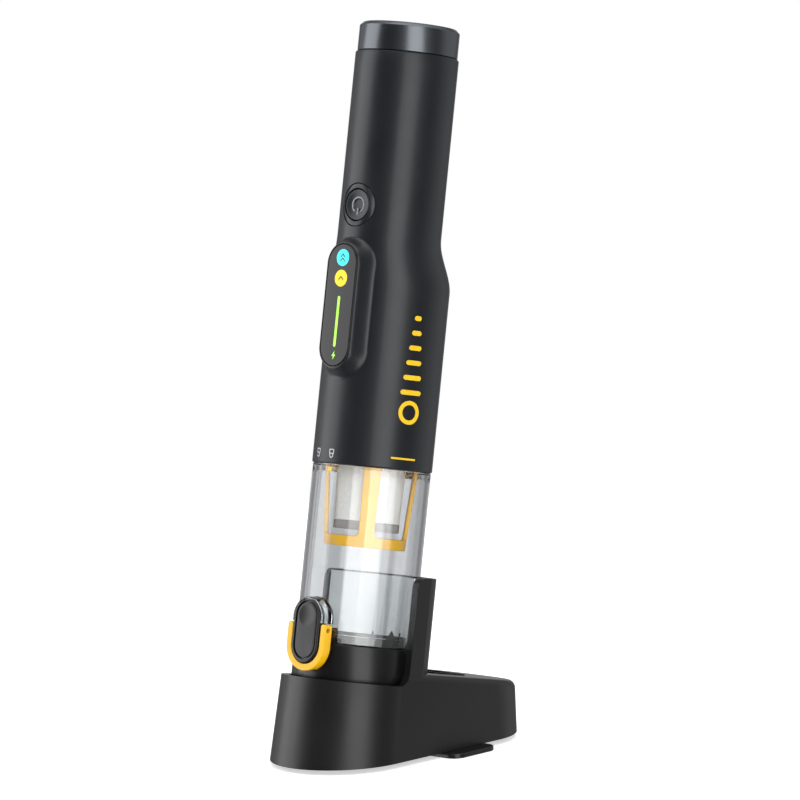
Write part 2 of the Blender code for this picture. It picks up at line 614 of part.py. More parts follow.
def build_controls():
    block("display_board", (-9.5, -23.6, 187), (9.5, -22.4, 236), BOARD)
    profile = [(RING_R, 27.4), (RING_R, 25.2), (7.8, 25.2), (7.8, 27.8), (9.4, 27.8)]
    turned("button_ring", profile, CAP_METAL, 28, (0, 0, BUTTON_Z), (math.pi / 2, 0, 0))
    profile = [(0, 27.7), (6.6, 27.9), (BUTTON_R, 27.4), (BUTTON_R, 25.7), (2.4, 25.7), (2.4, 22.2),
               (0, 22.2)]
    turned("power_button", profile, BODY_GREY, 28, (0, 0, BUTTON_Z), (math.pi / 2, 0, 0))
    profile = [(RING_R, 24.9), (RING_R, 22.4), (3.0, 22.4), (3.0, 24.9)]
    turned("button_seat", profile, DOCK_BLACK, 28, (0, 0, BUTTON_Z), (math.pi / 2, 0, 0))
    block("button_switch", (-3, -21.4, BUTTON_Z - 3), (3, -20.0, BUTTON_Z + 3), GLOSS_BLACK)
    block("main_board", (-8.5, -19.7, 240), (8.5, -18.6, 300), BOARD)
    block("charge_port", (-4.5, 11.5, 321.7), (4.5, 18.9, 325.3), STEEL, 0.8)
    cover = ring("port_cover", HANDLE_R - 0.1, 23.4, 319.4, 327.4, RUBBER, 48, (0, HANDLE_Y))
    boolean(cover, block("cut_cover_outline", (-6.5, 10, 319), (6.5, 30, 328), None), "INTERSECT")
    hang(cover, pivot("port_hinge", PORT_HINGE))


def build_motor():
    ring("intake_plate", 25.7, 11.0, 155.8, 158.0, BODY_GREY, 32)
    ring("impeller_housing", 25.6, 20.2, 158.3, 169.8, BODY_GREY, 32)
    ring("motor_mount", 25.6, 15.6, 170.1, 173.5, RUBBER, 32)
    profile = [(15.2, 206), (15.2, 170.4), (4.7, 170.4), (4.7, 172.4), (13.4, 172.4), (13.4, 204),
               (4.7, 204), (4.7, 206)]
    turned("motor_can", profile, STEEL, 32)
    ring("stator_ring", 13.1, 9.2, 176, 200, STEEL, 28)
    ring("bearing_front", 4.4, 1.7, 170.5, 172.9, STEEL, 20)
    ring("bearing_rear", 4.4, 1.7, 203.4, 205.8, STEEL, 20)
    disc("motor_shaft", 1.5, 158.6, 207, STEEL, 16)
    ring("rotor_core", 8.6, 1.75, 176, 200, STEEL, 24)
    impeller = ring("impeller", 18.6, 1.75, 167.4, 168.9, GLOSS_BLACK, 24)
    boolean(impeller, ring("cut_hub", 4.5, 1.75, 160.5, 168, None, 24), "UNION")
    for index in range(7):
        bm = bmesh.new()
        bmesh.ops.create_cube(bm, size=1)
        bmesh.ops.scale(bm, vec=(1.0, 13.5, 6.5), verts=bm.verts)
        place_at = (Matrix.Rotation(math.tau * index / 7, 4, "Z") @ Matrix.Translation((0, -10.9, 164.6))
                    @ Matrix.Rotation(math.radians(18), 4, "Z"))
        bmesh.ops.transform(bm, matrix=place_at, verts=bm.verts)
        boolean(impeller, from_bmesh(f"cut_blade_{index}", bm, None), "UNION")


def build_battery():
    for index in range(3):
        x, y = polar(2 * (CELL_R + 0.15) / math.sqrt(3), 60 + 120 * index)
        disc(f"battery_cell_{index + 1}", CELL_R, CELL_LOW, CELL_LOW + CELL_L, CELL_BLUE, 28,
             (x, y + HANDLE_Y))
    for name, low, high in (("cell_holder_lower", CELL_LOW - 5.5, CELL_LOW - GAP),
                            ("cell_holder_upper", CELL_LOW + CELL_L + GAP, CELL_LOW + CELL_L + 3)):
        holder = disc(name, 21.9, low, high, BODY_GREY, 28, (0, HANDLE_Y))
        boolean(holder, block(f"cut_{name}", (-30, -60, low - 5), (30, -18.2, high + 5), None))
        for index in range(3):
            x, y = polar(15.5, 120 * index)
            boolean(holder, disc(f"cut_{name}_{index}", 3.4, low - 5, high + 5, None, 12,
                                 (x, y + HANDLE_Y)))
    for index, side in enumerate((-1, 1)):
        top = CELL_LOW + CELL_L + 3.3
        screw_piece(f"chassis_screw_{index + 1}", (side * 17.4, HANDLE_Y, top + 3), STEEL, length=3.0)


def build_cap():
    bore, ceiling, spigot_low = CAP_SPIGOT_R - 1.7, CAP_TOP - 2.2, SEAM - 4.3
    profile = [(0, CAP_TOP), (CAP_R - CAP_BEVEL, CAP_TOP), (CAP_R, CAP_TOP - CAP_BEVEL), (CAP_R, SEAM + GAP),
               (CAP_SPIGOT_R, SEAM + GAP), (CAP_SPIGOT_R, spigot_low), (bore, spigot_low), (bore, ceiling),
               (0, ceiling)]
    cap = turned("end_cap", profile, CAP_METAL, 48, (0, HANDLE_Y, 0))
    grille_r = 16.0
    for index, offset in enumerate((-10, -5, 0, 5, 10)):
        half = math.sqrt(grille_r ** 2 - offset ** 2)
        boolean(cap, block(f"cut_grille_{index}", (-half, offset + HANDLE_Y - 1, CAP_TOP - 4),
                           (half, offset + HANDLE_Y + 1, CAP_TOP + 2), None))
    disc("exhaust_filter", 20.0, CAP_TOP - 6.0, CAP_TOP - 2.6, RUBBER, 40, (0, HANDLE_Y))


def main():
    build_dock()
    build_dock_underside()
    build_nozzle_cover()
    build_intake()
    build_cup()
    build_latch()
    build_filter()
    build_shell()
    build_controls()
    build_motor()
    build_battery()
    build_cap()


main()
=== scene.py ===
"""Looks of a slim cordless handheld vacuum that stands nozzle-down in its storage dock.

Sizes are in millimetres, on two sets of axes that share one origin, the point where the
vacuum's axis meets the dock's underside: LEAN, with +Z up the vacuum's axis and -Y towards
the display, and LEVEL, with +Z straight up.  A Stand turns both into the frame's metres.
"""
from __future__ import annotations

import json
import logging
import math
from collections.abc import Callable, Iterable, Sequence
from dataclasses import dataclass
from enum import Enum

import bmesh
import bpy
from mathutils import Matrix, Vector

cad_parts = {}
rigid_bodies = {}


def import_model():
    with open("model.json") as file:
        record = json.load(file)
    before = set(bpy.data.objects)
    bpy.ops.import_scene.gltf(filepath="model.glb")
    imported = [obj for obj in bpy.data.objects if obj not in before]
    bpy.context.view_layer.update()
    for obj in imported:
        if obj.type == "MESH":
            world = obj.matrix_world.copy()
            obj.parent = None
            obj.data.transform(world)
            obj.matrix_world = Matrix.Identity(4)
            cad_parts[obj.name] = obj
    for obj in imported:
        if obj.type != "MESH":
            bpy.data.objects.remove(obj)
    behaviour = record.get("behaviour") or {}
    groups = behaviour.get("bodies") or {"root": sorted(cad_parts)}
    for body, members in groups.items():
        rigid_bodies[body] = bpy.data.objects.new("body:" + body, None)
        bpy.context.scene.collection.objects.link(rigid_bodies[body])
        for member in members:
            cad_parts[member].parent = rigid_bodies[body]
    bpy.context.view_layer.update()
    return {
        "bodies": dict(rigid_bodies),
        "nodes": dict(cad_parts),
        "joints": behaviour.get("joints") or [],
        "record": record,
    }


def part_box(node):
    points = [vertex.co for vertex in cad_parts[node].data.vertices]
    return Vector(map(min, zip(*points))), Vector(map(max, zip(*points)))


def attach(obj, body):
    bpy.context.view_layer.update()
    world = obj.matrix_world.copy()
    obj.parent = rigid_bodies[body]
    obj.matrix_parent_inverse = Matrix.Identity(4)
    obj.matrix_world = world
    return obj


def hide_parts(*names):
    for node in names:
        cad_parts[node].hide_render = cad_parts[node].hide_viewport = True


MM = 0.001
SMOOTH_STEPS = 128       # sides of a large round piece
SMALL_STEPS = 48         # sides of a small round piece
WELD = 0.002             # millimetres within which vertices are merged
SHARP = 32.0             # degrees

WIDE_R = 28.5            # outside of the body's wide part
HANDLE_R = 24.55         # outside of the handle
HANDLE_Y = -3.7          # the handle's axis, nearer the front than the cup's
SEAM = 332.5             # where the cap meets the handle
PIN_Y, PIN_Z = -31.3, 58.9       # the pin that the latch rocks on
PRINT = 0.06             # thickness of a printed mark
PRINT_LIFT = 0.02        # how far it stands off the surface under it

Point = tuple[float, float]
log = logging.getLogger("vacuum_looks")


class Axes(Enum):
    """The axes that a piece's sizes are given on."""

    LEAN = "lean"
    LEVEL = "level"


class Boolean(Enum):
    """How one form is combined with another."""

    JOIN = "UNION"
    CUT = "DIFFERENCE"
    KEEP_COMMON = "INTERSECT"


class Icon(Enum):
    """The two lock signs above the seam of the cup."""

    LOCKED = "locked"
    UNLOCKED = "unlocked"


# ------------------------------------------------------------------------------ materials
def linear(colour: str) -> tuple[float, float, float, float]:
    """Turn an sRGB hex colour into linear red, green, blue and alpha."""
    parts = [int(colour[i:i + 2], 16) / 255 for i in (1, 3, 5)]
    red, green, blue = (c / 12.92 if c <= 0.04045 else ((c + 0.055) / 1.055) ** 2.4 for c in parts)
    return red, green, blue, 1.0


def add_node(tree: bpy.types.NodeTree, kind: str, inputs: dict | None = None, **settings) -> bpy.types.Node:
    """Add a node with its settings and its inputs.

    Args:
        tree: the node tree that takes the node.
        kind: the node's type, such as ShaderNodeTexNoise.
        inputs: values by input name or number; a value that is a socket is linked.
        settings: the node's own properties.

    Returns:
        The new node.
    """
    node = tree.nodes.new(kind)
    for key, value in settings.items():
        setattr(node, key, value)
    for key, value in (inputs or {}).items():
        if isinstance(value, bpy.types.NodeSocket):
            tree.links.new(value, node.inputs[key])
        else:
            node.inputs[key].default_value = value
    return node


@dataclass(frozen=True)
class Finish:
    """A material: its name, colour, and what a real sample of it measures."""

    name: str
    colour: str
    roughness: float
    ior: float = 1.5
    metallic: float = 0.0

    def material(self) -> bpy.types.Material:
        """Return the material, which is made the first time it is asked for."""
        found = bpy.data.materials.get(self.name)
        if found:
            return found
        material = bpy.data.materials.new(self.name)
        material.use_nodes = True
        tree = material.node_tree
        shader = tree.nodes["Principled BSDF"]
        shader.inputs["Base Color"].default_value = linear(self.colour)
        shader.inputs["Roughness"].default_value = self.roughness
        shader.inputs["Metallic"].default_value = self.metallic
        shader.inputs["IOR"].default_value = self.ior
        self.dress(tree, shader)
        return material

    def dress(self, tree: bpy.types.NodeTree, shader: bpy.types.Node) -> None:
        """Add the pattern of the surface; each kind of finish has its own."""

    def vary(self, tree: bpy.types.NodeTree, shader: bpy.types.Node, size: float, tint: float,
             rough: float) -> tuple[bpy.types.NodeSocket, bpy.types.Node]:
        """Drift the colour and the roughness over patches of the given size.

        Args:
            tree: the material's nodes.
            shader: its Principled node.
            size: how wide a patch is, in millimetres.
            tint: how much lighter and darker the colour gets, as a share.
            rough: how much the roughness gains and loses.

        Returns:
            The coordinates, and the patches' noise node.
        """
        place = add_node(tree, "ShaderNodeTexCoord").outputs["Object"]
        patches = add_node(tree, "ShaderNodeTexNoise",
                           {"Vector": place, "Scale": 1 / (size * MM), "Detail": 3.0})
        value = add_node(tree, "ShaderNodeMapRange",
                         {"Value": patches.outputs[0], "From Min": 0.3, "From Max": 0.7,
                          "To Min": 1 - tint, "To Max": 1 + tint})
        colour = add_node(tree, "ShaderNodeHueSaturation",
                          {"Value": value.outputs[0], "Color": linear(self.colour)})
        tree.links.new(colour.outputs[0], shader.inputs["Base Color"])
        spread = add_node(tree, "ShaderNodeMapRange",
                          {"Value": patches.outputs[0], "From Min": 0.3, "From Max": 0.7,
                           "To Min": self.roughness - rough, "To Max": self.roughness + rough})
        tree.links.new(spread.outputs[0], shader.inputs["Roughness"])
        return place, colour


    def relief(self, tree: bpy.types.NodeTree, shader: bpy.types.Node, height: bpy.types.NodeSocket,
               strength: float, depth: float, sunk: bool = False) -> None:
        """Raise or sink the surface by a pattern.

        Args:
            tree: the material's nodes.
            shader: its Principled node.
            height: the pattern, from 0 to 1.
            strength: how much of the effect is used.
            depth: millimetres from the pattern's low to its high.
            sunk: whether the high parts go down instead.
        """
        bump = add_node(tree, "ShaderNodeBump",
                        {"Height": height, "Strength": strength, "Distance": depth * MM}, invert=sunk)
        tree.links.new(bump.outputs[0], shader.inputs["Normal"])

    def lay_over(self, tree: bpy.types.NodeTree, share: bpy.types.NodeSocket, under: bpy.types.NodeSocket,
                 colour: str) -> bpy.types.NodeSocket:
        """Lay a colour over another where the share is high, and return the result."""
        mix = add_node(tree, "ShaderNodeMix", {0: share, 6: under, 7: linear(colour)}, data_type="RGBA")
        return mix.outputs[2]


@dataclass(frozen=True)
class MouldedPlastic(Finish):
    """Injection-moulded ABS: a spark-eroded grain, faint mottling and rubbed edges."""

    grain: float = 0.45          # millimetres; the real 0.1 is drawn coarser so that it shows
    grain_depth: float = 0.006
    worn: str = "#000000"        # colour of a rubbed edge
    wear: float = 0.35

    def dress(self, tree: bpy.types.NodeTree, shader: bpy.types.Node) -> None:
        """Add grain, mottling and wear."""
        place, colour = self.vary(tree, shader, 22.0, 0.06, 0.03)
        grain = add_node(tree, "ShaderNodeTexNoise",
                         {"Vector": place, "Scale": 1 / (self.grain * MM), "Detail": 2.0})
        self.relief(tree, shader, grain.outputs[0], 1.0, self.grain_depth)
        edge = add_node(tree, "ShaderNodeNewGeometry").outputs["Pointiness"]
        rubbed = add_node(tree, "ShaderNodeMapRange",
                          {"Value": edge, "From Min": 0.56, "From Max": 0.72, "To Min": 0.0,
                           "To Max": self.wear})
        tinted = self.lay_over(tree, rubbed.outputs[0], colour.outputs[0], self.worn)
        tree.links.new(tinted, shader.inputs["Base Color"])


@dataclass(frozen=True)
class GlossPlastic(Finish):
    """Polished acrylic or lacquer: a hard mirror with fine hairlines and finger haze."""

    hairline: float = 0.3

    def dress(self, tree: bpy.types.NodeTree, shader: bpy.types.Node) -> None:
        """Add the haze and the hairlines."""
        place, _ = self.vary(tree, shader, 9.0, 0.05, self.roughness * 0.4)
        turned = add_node(tree, "ShaderNodeMapping",
                          {"Vector": place, "Rotation": (0.2, 0.5, 0.3), "Scale": (0.04, 1.0, 1.0)})
        lines = add_node(tree, "ShaderNodeTexNoise",
                         {"Vector": turned.outputs[0], "Scale": 1 / (self.hairline * MM), "Detail": 1.0})
        self.relief(tree, shader, lines.outputs[0], 0.4, 0.0008)


@dataclass(frozen=True)
class ClearPlastic(Finish):
    """Moulded polycarbonate: clear, bent light at its edges, faint ripple from the mould."""

    ripple: float = 14.0

    def dress(self, tree: bpy.types.NodeTree, shader: bpy.types.Node) -> None:
        """Make it transmit, ripple it, and let lamps light what is behind it."""
        shader.inputs["Transmission Weight"].default_value = 1.0
        place = add_node(tree, "ShaderNodeTexCoord").outputs["Object"]
        swirl = add_node(tree, "ShaderNodeTexNoise",
                         {"Vector": place, "Scale": 1 / (self.ripple * MM), "Detail": 1.0})
        self.relief(tree, shader, swirl.outputs[0], 0.5, 0.02)
        haze = add_node(tree, "ShaderNodeMapRange",
                        {"Value": swirl.outputs[0], "To Min": self.roughness * 0.5,
                         "To Max": self.roughness * 1.5})
        tree.links.new(haze.outputs[0], shader.inputs["Roughness"])
        path = add_node(tree, "ShaderNodeLightPath")
        through = add_node(tree, "ShaderNodeBsdfTransparent", {"Color": linear(self.colour)})
        both = add_node(tree, "ShaderNodeMixShader",
                        {0: path.outputs["Is Shadow Ray"], 1: shader.outputs[0], 2: through.outputs[0]})
        output = next(n for n in tree.nodes if n.type == "OUTPUT_MATERIAL")
        tree.links.new(both.outputs[0], output.inputs["Surface"])


@dataclass(frozen=True)
class TurnedMetal(Finish):
    """Metal turned or drawn round an axis: fine rings and a stretched highlight."""

    line: float = 0.35
    line_depth: float = 0.0015
    axis_y: float = 0.0
    metallic: float = 1.0

    def dress(self, tree: bpy.types.NodeTree, shader: bpy.types.Node) -> None:
        """Add the rings, which follow the radius and the height on the leaning axis."""
        place, _ = self.vary(tree, shader, 30.0, 0.05, 0.03)
        stand = Stand.current
        centre = stand.matrix(Axes.LEAN) @ Vector((0, self.axis_y, 0))
        moved = add_node(tree, "ShaderNodeVectorMath", {0: place, 1: centre}, operation="SUBTRACT")
        turned = add_node(tree, "ShaderNodeVectorRotate",
                          {"Vector": moved.outputs[0], "Rotation": (stand.tilt, 0, 0)},
                          rotation_type="EULER_XYZ")
        flat = add_node(tree, "ShaderNodeVectorMath", {0: turned.outputs[0], 1: (1, 1, 0)},
                        operation="MULTIPLY")
        radius = add_node(tree, "ShaderNodeVectorMath", {0: flat.outputs[0]}, operation="LENGTH")
        height = add_node(tree, "ShaderNodeSeparateXYZ", {0: turned.outputs[0]})
        rings = add_node(tree, "ShaderNodeCombineXYZ", {0: radius.outputs["Value"], 2: height.outputs[2]})
        noise = add_node(tree, "ShaderNodeTexNoise",
                         {"Vector": rings.outputs[0], "Scale": 1 / (self.line * MM), "Detail": 2.0})
        self.relief(tree, shader, noise.outputs[0], 1.0, self.line_depth)


@dataclass(frozen=True)
class Rubber(Finish):
    """Moulded rubber: matt, softly pitted, with a trace of dust in the pits."""

    pit: float = 0.7
    dust: str = "#4a4947"

    def dress(self, tree: bpy.types.NodeTree, shader: bpy.types.Node) -> None:
        """Add the pits and the dust."""
        place, colour = self.vary(tree, shader, 16.0, 0.08, 0.04)
        pits = add_node(tree, "ShaderNodeTexVoronoi", {"Vector": place, "Scale": 1 / (self.pit * MM)})
        self.relief(tree, shader, pits.outputs["Distance"], 0.6, 0.012)
        share = add_node(tree, "ShaderNodeMapRange",
                         {"Value": pits.outputs["Distance"], "From Min": 0.0, "From Max": 0.5,
                          "To Min": 0.18, "To Max": 0.0})
        tinted = self.lay_over(tree, share.outputs[0], colour.outputs[0], self.dust)
        tree.links.new(tinted, shader.inputs["Base Color"])


@dataclass(frozen=True)
class Fleece(Finish):
    """Bonded filter fleece: short crossing fibres, soft and without gloss."""

    fibre: float = 0.25
    shade: str = "#8d8b86"

    def dress(self, tree: bpy.types.NodeTree, shader: bpy.types.Node) -> None:
        """Cross two sets of stretched fibres over the cloth."""
        shader.inputs["Sheen Weight"].default_value = 0.15
        place, colour = self.vary(tree, shader, 12.0, 0.03, 0.02)
        heights = []
        for turn in (0.6, -0.7):
            across = add_node(tree, "ShaderNodeMapping",
                              {"Vector": place, "Rotation": (turn, turn, turn), "Scale": (1.0, 1.0, 0.12)})
            fibres = add_node(tree, "ShaderNodeTexNoise",
                              {"Vector": across.outputs[0], "Scale": 1 / (self.fibre * MM), "Detail": 2.0})
            heights.append(fibres.outputs[0])
        cloth = add_node(tree, "ShaderNodeMath", {0: heights[0], 1: heights[1]}, operation="MAXIMUM")
        self.relief(tree, shader, cloth.outputs[0], 0.8, 0.03)
        gaps = add_node(tree, "ShaderNodeMapRange",
                        {"Value": cloth.outputs[0], "From Min": 0.4, "From Max": 0.6, "To Min": 0.35,
                         "To Max": 0.0})
        tinted = self.lay_over(tree, gaps.outputs[0], colour.outputs[0], self.shade)
        tree.links.new(tinted, shader.inputs["Base Color"])


@dataclass(frozen=True)
class Foam(Finish):
    """Open-cell polyurethane foam: a net of cell walls round pores, which are painted near-black as shade.
    """

    cell: float = 0.9
    pore_shade: str = "#050505"

    def dress(self, tree: bpy.types.NodeTree, shader: bpy.types.Node) -> None:
        """Sink the pores and paint them near-black as shade."""
        place, colour = self.vary(tree, shader, 10.0, 0.1, 0.02)
        cells = add_node(tree, "ShaderNodeTexVoronoi", {"Vector": place, "Scale": 1 / (self.cell * MM)},
                         feature="DISTANCE_TO_EDGE")
        wall = add_node(tree, "ShaderNodeMapRange",
                        {"Value": cells.outputs[0], "From Min": 0.04, "From Max": 0.18, "To Min": 0.0,
                         "To Max": 1.0})
        # Painted shade: the middle of each cell is laid over with near-black, where shadow would fall into
        # the pore.
        tinted = self.lay_over(tree, wall.outputs[0], colour.outputs[0], self.pore_shade)
        tree.links.new(tinted, shader.inputs["Base Color"])
        self.relief(tree, shader, wall.outputs[0], 1.0, 0.2, sunk=True)


@dataclass(frozen=True)
class PrintedInk(Finish):
    """Pad-printed ink or a lit sign: even colour with a faint screen grain, and its glow."""

    glow: float = 0.0
    screen: float = 0.3

    def dress(self, tree: bpy.types.NodeTree, shader: bpy.types.Node) -> None:
        """Add the screen grain and, on a lit sign, the glow."""
        place, _ = self.vary(tree, shader, 4.0, 0.04, 0.05)
        if self.glow:
            shader.inputs["Emission Color"].default_value = linear(self.colour)
            shader.inputs["Emission Strength"].default_value = self.glow
        dots = add_node(tree, "ShaderNodeTexVoronoi", {"Vector": place, "Scale": 1 / (self.screen * MM)})
        self.relief(tree, shader, dots.outputs[0], 0.5, 0.004)


@dataclass(frozen=True)
class CircuitBoard(Finish):
    """Glass-epoxy board under green solder mask: copper tracks and bare pads."""

    track: float = 1.6
    copper: str = "#1f6b3a"
    pad: str = "#b9b2a0"

    def dress(self, tree: bpy.types.NodeTree, shader: bpy.types.Node) -> None:
        """Lay the tracks as a brick pattern and dot the pads over them."""
        place, colour = self.vary(tree, shader, 8.0, 0.06, 0.03)
        upright = add_node(tree, "ShaderNodeMapping",
                           {"Vector": place, "Rotation": (math.pi / 2, 0, 0)})
        tracks = add_node(tree, "ShaderNodeTexBrick",
                          {"Vector": upright.outputs[0], "Scale": 1 / (self.track * 4 * MM),
                           "Mortar Size": 0.03, "Color1": (0, 0, 0, 1), "Color2": (0, 0, 0, 1),
                           "Mortar": (1, 1, 1, 1)})
        raised = self.lay_over(tree, tracks.outputs["Fac"], colour.outputs[0], self.copper)
        dots = add_node(tree, "ShaderNodeTexVoronoi", {"Vector": place, "Scale": 1 / (2.2 * MM)})
        near = add_node(tree, "ShaderNodeMath", {0: dots.outputs["Distance"], 1: 0.2},
                        operation="LESS_THAN")
        pads = self.lay_over(tree, near.outputs[0], raised, self.pad)
        tree.links.new(pads, shader.inputs["Base Color"])
        self.relief(tree, shader, tracks.outputs["Fac"], 0.8, 0.05)


# Moulded ABS, spark-eroded: soft broad highlights, a cool slate cast, paler along rubbed edges.
BODY_ABS = MouldedPlastic("abs_soft_satin_slate", "#16191d", 0.34, 1.52, worn="#4a4e54", wear=0.2)
DOCK_ABS = MouldedPlastic("abs_satin_black_dock", "#0e0e0f", 0.34, 1.52, worn="#3c3c3c", wear=0.2)
COVER_ABS = MouldedPlastic("abs_satin_black_cover", "#0d0d0e", 0.3, 1.52, worn="#3c3c3c", wear=0.2)
LATCH_ABS = MouldedPlastic("abs_satin_black_latch", "#111011", 0.3, 1.52, worn="#5a5456", wear=0.35)
# A finer, matter grain: the plate looks greyer than the rocker round it.
LATCH_FACE = MouldedPlastic("abs_fine_matt_latch_face", "#2b2b2c", 0.42, 1.52, worn="#6a6a6a", wear=0.2)
# Coloured right through: warm and bright, with a short soft highlight.
YELLOW_PC = MouldedPlastic("abs_yellow_semi_gloss", "#f0b808", 0.32, 1.54, grain_depth=0.003,
                           worn="#ffe27a", wear=0.35)
CAGE_PC = MouldedPlastic("abs_yellow_filter_cage", "#dba60a", 0.4, 1.54, grain_depth=0.003,
                         worn="#ffdc70", wear=0.3)
# Polished polycarbonate, IOR 1.58: strong edge lines, and pale where it is thick.
CLEAR_PC = ClearPlastic("polycarbonate_clear", "#f4f6f7", 0.012, 1.58)
# Polished acrylic: a black mirror, so only its rim and the signs on it show.
LENS_ACRYLIC = GlossPlastic("acrylic_gloss_black_lens", "#050506", 0.06, 1.49)
# Anodised aluminium, so the default IOR: a sharp, tinted highlight with fine turning rings.
CAP_METAL = TurnedMetal("aluminium_anodised_graphite", "#65696d", 0.25, axis_y=HANDLE_Y)
RING_METAL = MouldedPlastic("abs_satin_slate_ring", "#1b1e22", 0.28, 1.52, worn="#70757b", wear=0.4)
# Silicone and nitrile: near-black with no highlight to speak of, and dust in the pits.
SEAL_RUBBER = Rubber("silicone_rubber_black", "#151515", 0.6, 1.43)
FOOT_RUBBER = Rubber("nitrile_rubber_foot", "#1b1b1b", 0.85, 1.52)
# Bonded polyester fibre for the filter: off-white, with no gloss and a soft nap.
FILTER_FLEECE = Fleece("polyester_filter_fleece", "#e4e2de", 0.9, 1.5)
# A pale sheet for the cradle behind the cup: painted light, standing in for the brightness that shows
# through the clear cup.
PALE_LIGHT_SHEET = Fleece("pale_sheet_painted_light", "#f4f4f2", 0.95, 1.5, shade="#b0b0b0")
# Uncoloured polypropylene: waxy grey, duller than the ABS parts.
FILTER_END = MouldedPlastic("polypropylene_filter_end", "#8f8c88", 0.55, 1.49, worn="#d0cdc8")
# Open-cell foam: a dark net with painted shade in its pores, so it swallows light.
FOAM_BLACK = Foam("polyurethane_foam_exhaust", "#2c2c2c", 0.95, 1.5)
# Glass-filled nylon: coarse and matt, as inner parts are left.
NYLON = MouldedPlastic("nylon_glass_filled_black", "#1c1d1f", 0.55, 1.53, grain=0.8, grain_depth=0.02,
                       worn="#55575a")
# Bright steel, so the default IOR: bearings, pins and screws catch the light.
STEEL = TurnedMetal("steel_bright_turned", "#b4b5b8", 0.28)
LAMINATED = TurnedMetal("steel_stator_laminations", "#8c8d90", 0.42, line=0.9, line_depth=0.03)
# Shrunk PVC sleeve: glossy, with long drawn lines.
CELL_SLEEVE = GlossPlastic("pvc_shrink_sleeve_blue", "#27508a", 0.3, 1.53, hairline=1.2)
# Solder mask on glass epoxy: glossy green over raised copper.
BOARD = CircuitBoard("fr4_board_green_mask", "#0f4a2a", 0.35, 1.55)
# Pad-print ink stands just proud and a little matter than the shell under it.
WHITE_INK = PrintedInk("pad_print_ink_white", "#c9cdd2", 0.45, 1.5)
YELLOW_INK = PrintedInk("pad_print_ink_yellow", "#f3c614", 0.42, 1.5)
GREY_INK = PrintedInk("pad_print_ink_grey", "#8b8f94", 0.4, 1.5)
# Backlit legends: they glow gently through the black lens.
CYAN_LIGHT = PrintedInk("display_light_cyan", "#38eef2", 0.4, 1.5, glow=0.5)
AMBER_LIGHT = PrintedInk("display_light_amber", "#f8cc18", 0.4, 1.5, glow=0.45)
GREEN_LIGHT = PrintedInk("display_light_green", "#a4f04c", 0.4, 1.5, glow=0.6)
SIGN_BLACK = PrintedInk("display_mask_black", "#0a0c0d", 0.3, 1.5)


# ------------------------------------------------------------------------------ outlines
def arc(centre: Point, radius: float, start: float, end: float, steps: int) -> list[Point]:
    """Return points on an arc, with its angles in degrees from +X towards +Y."""
    angles = [math.radians(start + (end - start) * i / steps) for i in range(steps + 1)]
    return [(centre[0] + radius * math.cos(a), centre[1] + radius * math.sin(a)) for a in angles]


def stadium(half: float, low: float, high: float, steps: int = 32) -> list[Point]:
    """Return an upright outline with straight sides and round ends."""
    return (arc((0, high - half), half, 0, 180, steps) + arc((0, low + half), half, 180, 360, steps))


def rounded(half_x: float, low: float, high: float, radius: float, steps: int = 10) -> list[Point]:
    """Return a rectangle with round corners."""
    turns = ((1, high - radius, 0), (-1, high - radius, 90), (-1, low + radius, 180), (1, low + radius, 270))
    return [p for side, y, start in turns
            for p in arc((side * (half_x - radius), y), radius, start, start + 90, steps)]


def hoop(outer: float, inner: float, centre: float, top: float, corner: float,
         steps: int = 48) -> list[Point]:
    """Return a U of two half rounds and two upright legs with rounded tops."""
    right = (arc((outer - corner, top - corner), corner, 0, 90, 6)
             + arc((inner + corner, top - corner), corner, 90, 180, 6))
    left = [(-x, y) for x, y in reversed(right)]
    return (arc((0, centre), outer, 180, 360, steps) + right
            + arc((0, centre), inner, 360, 180, steps) + left)


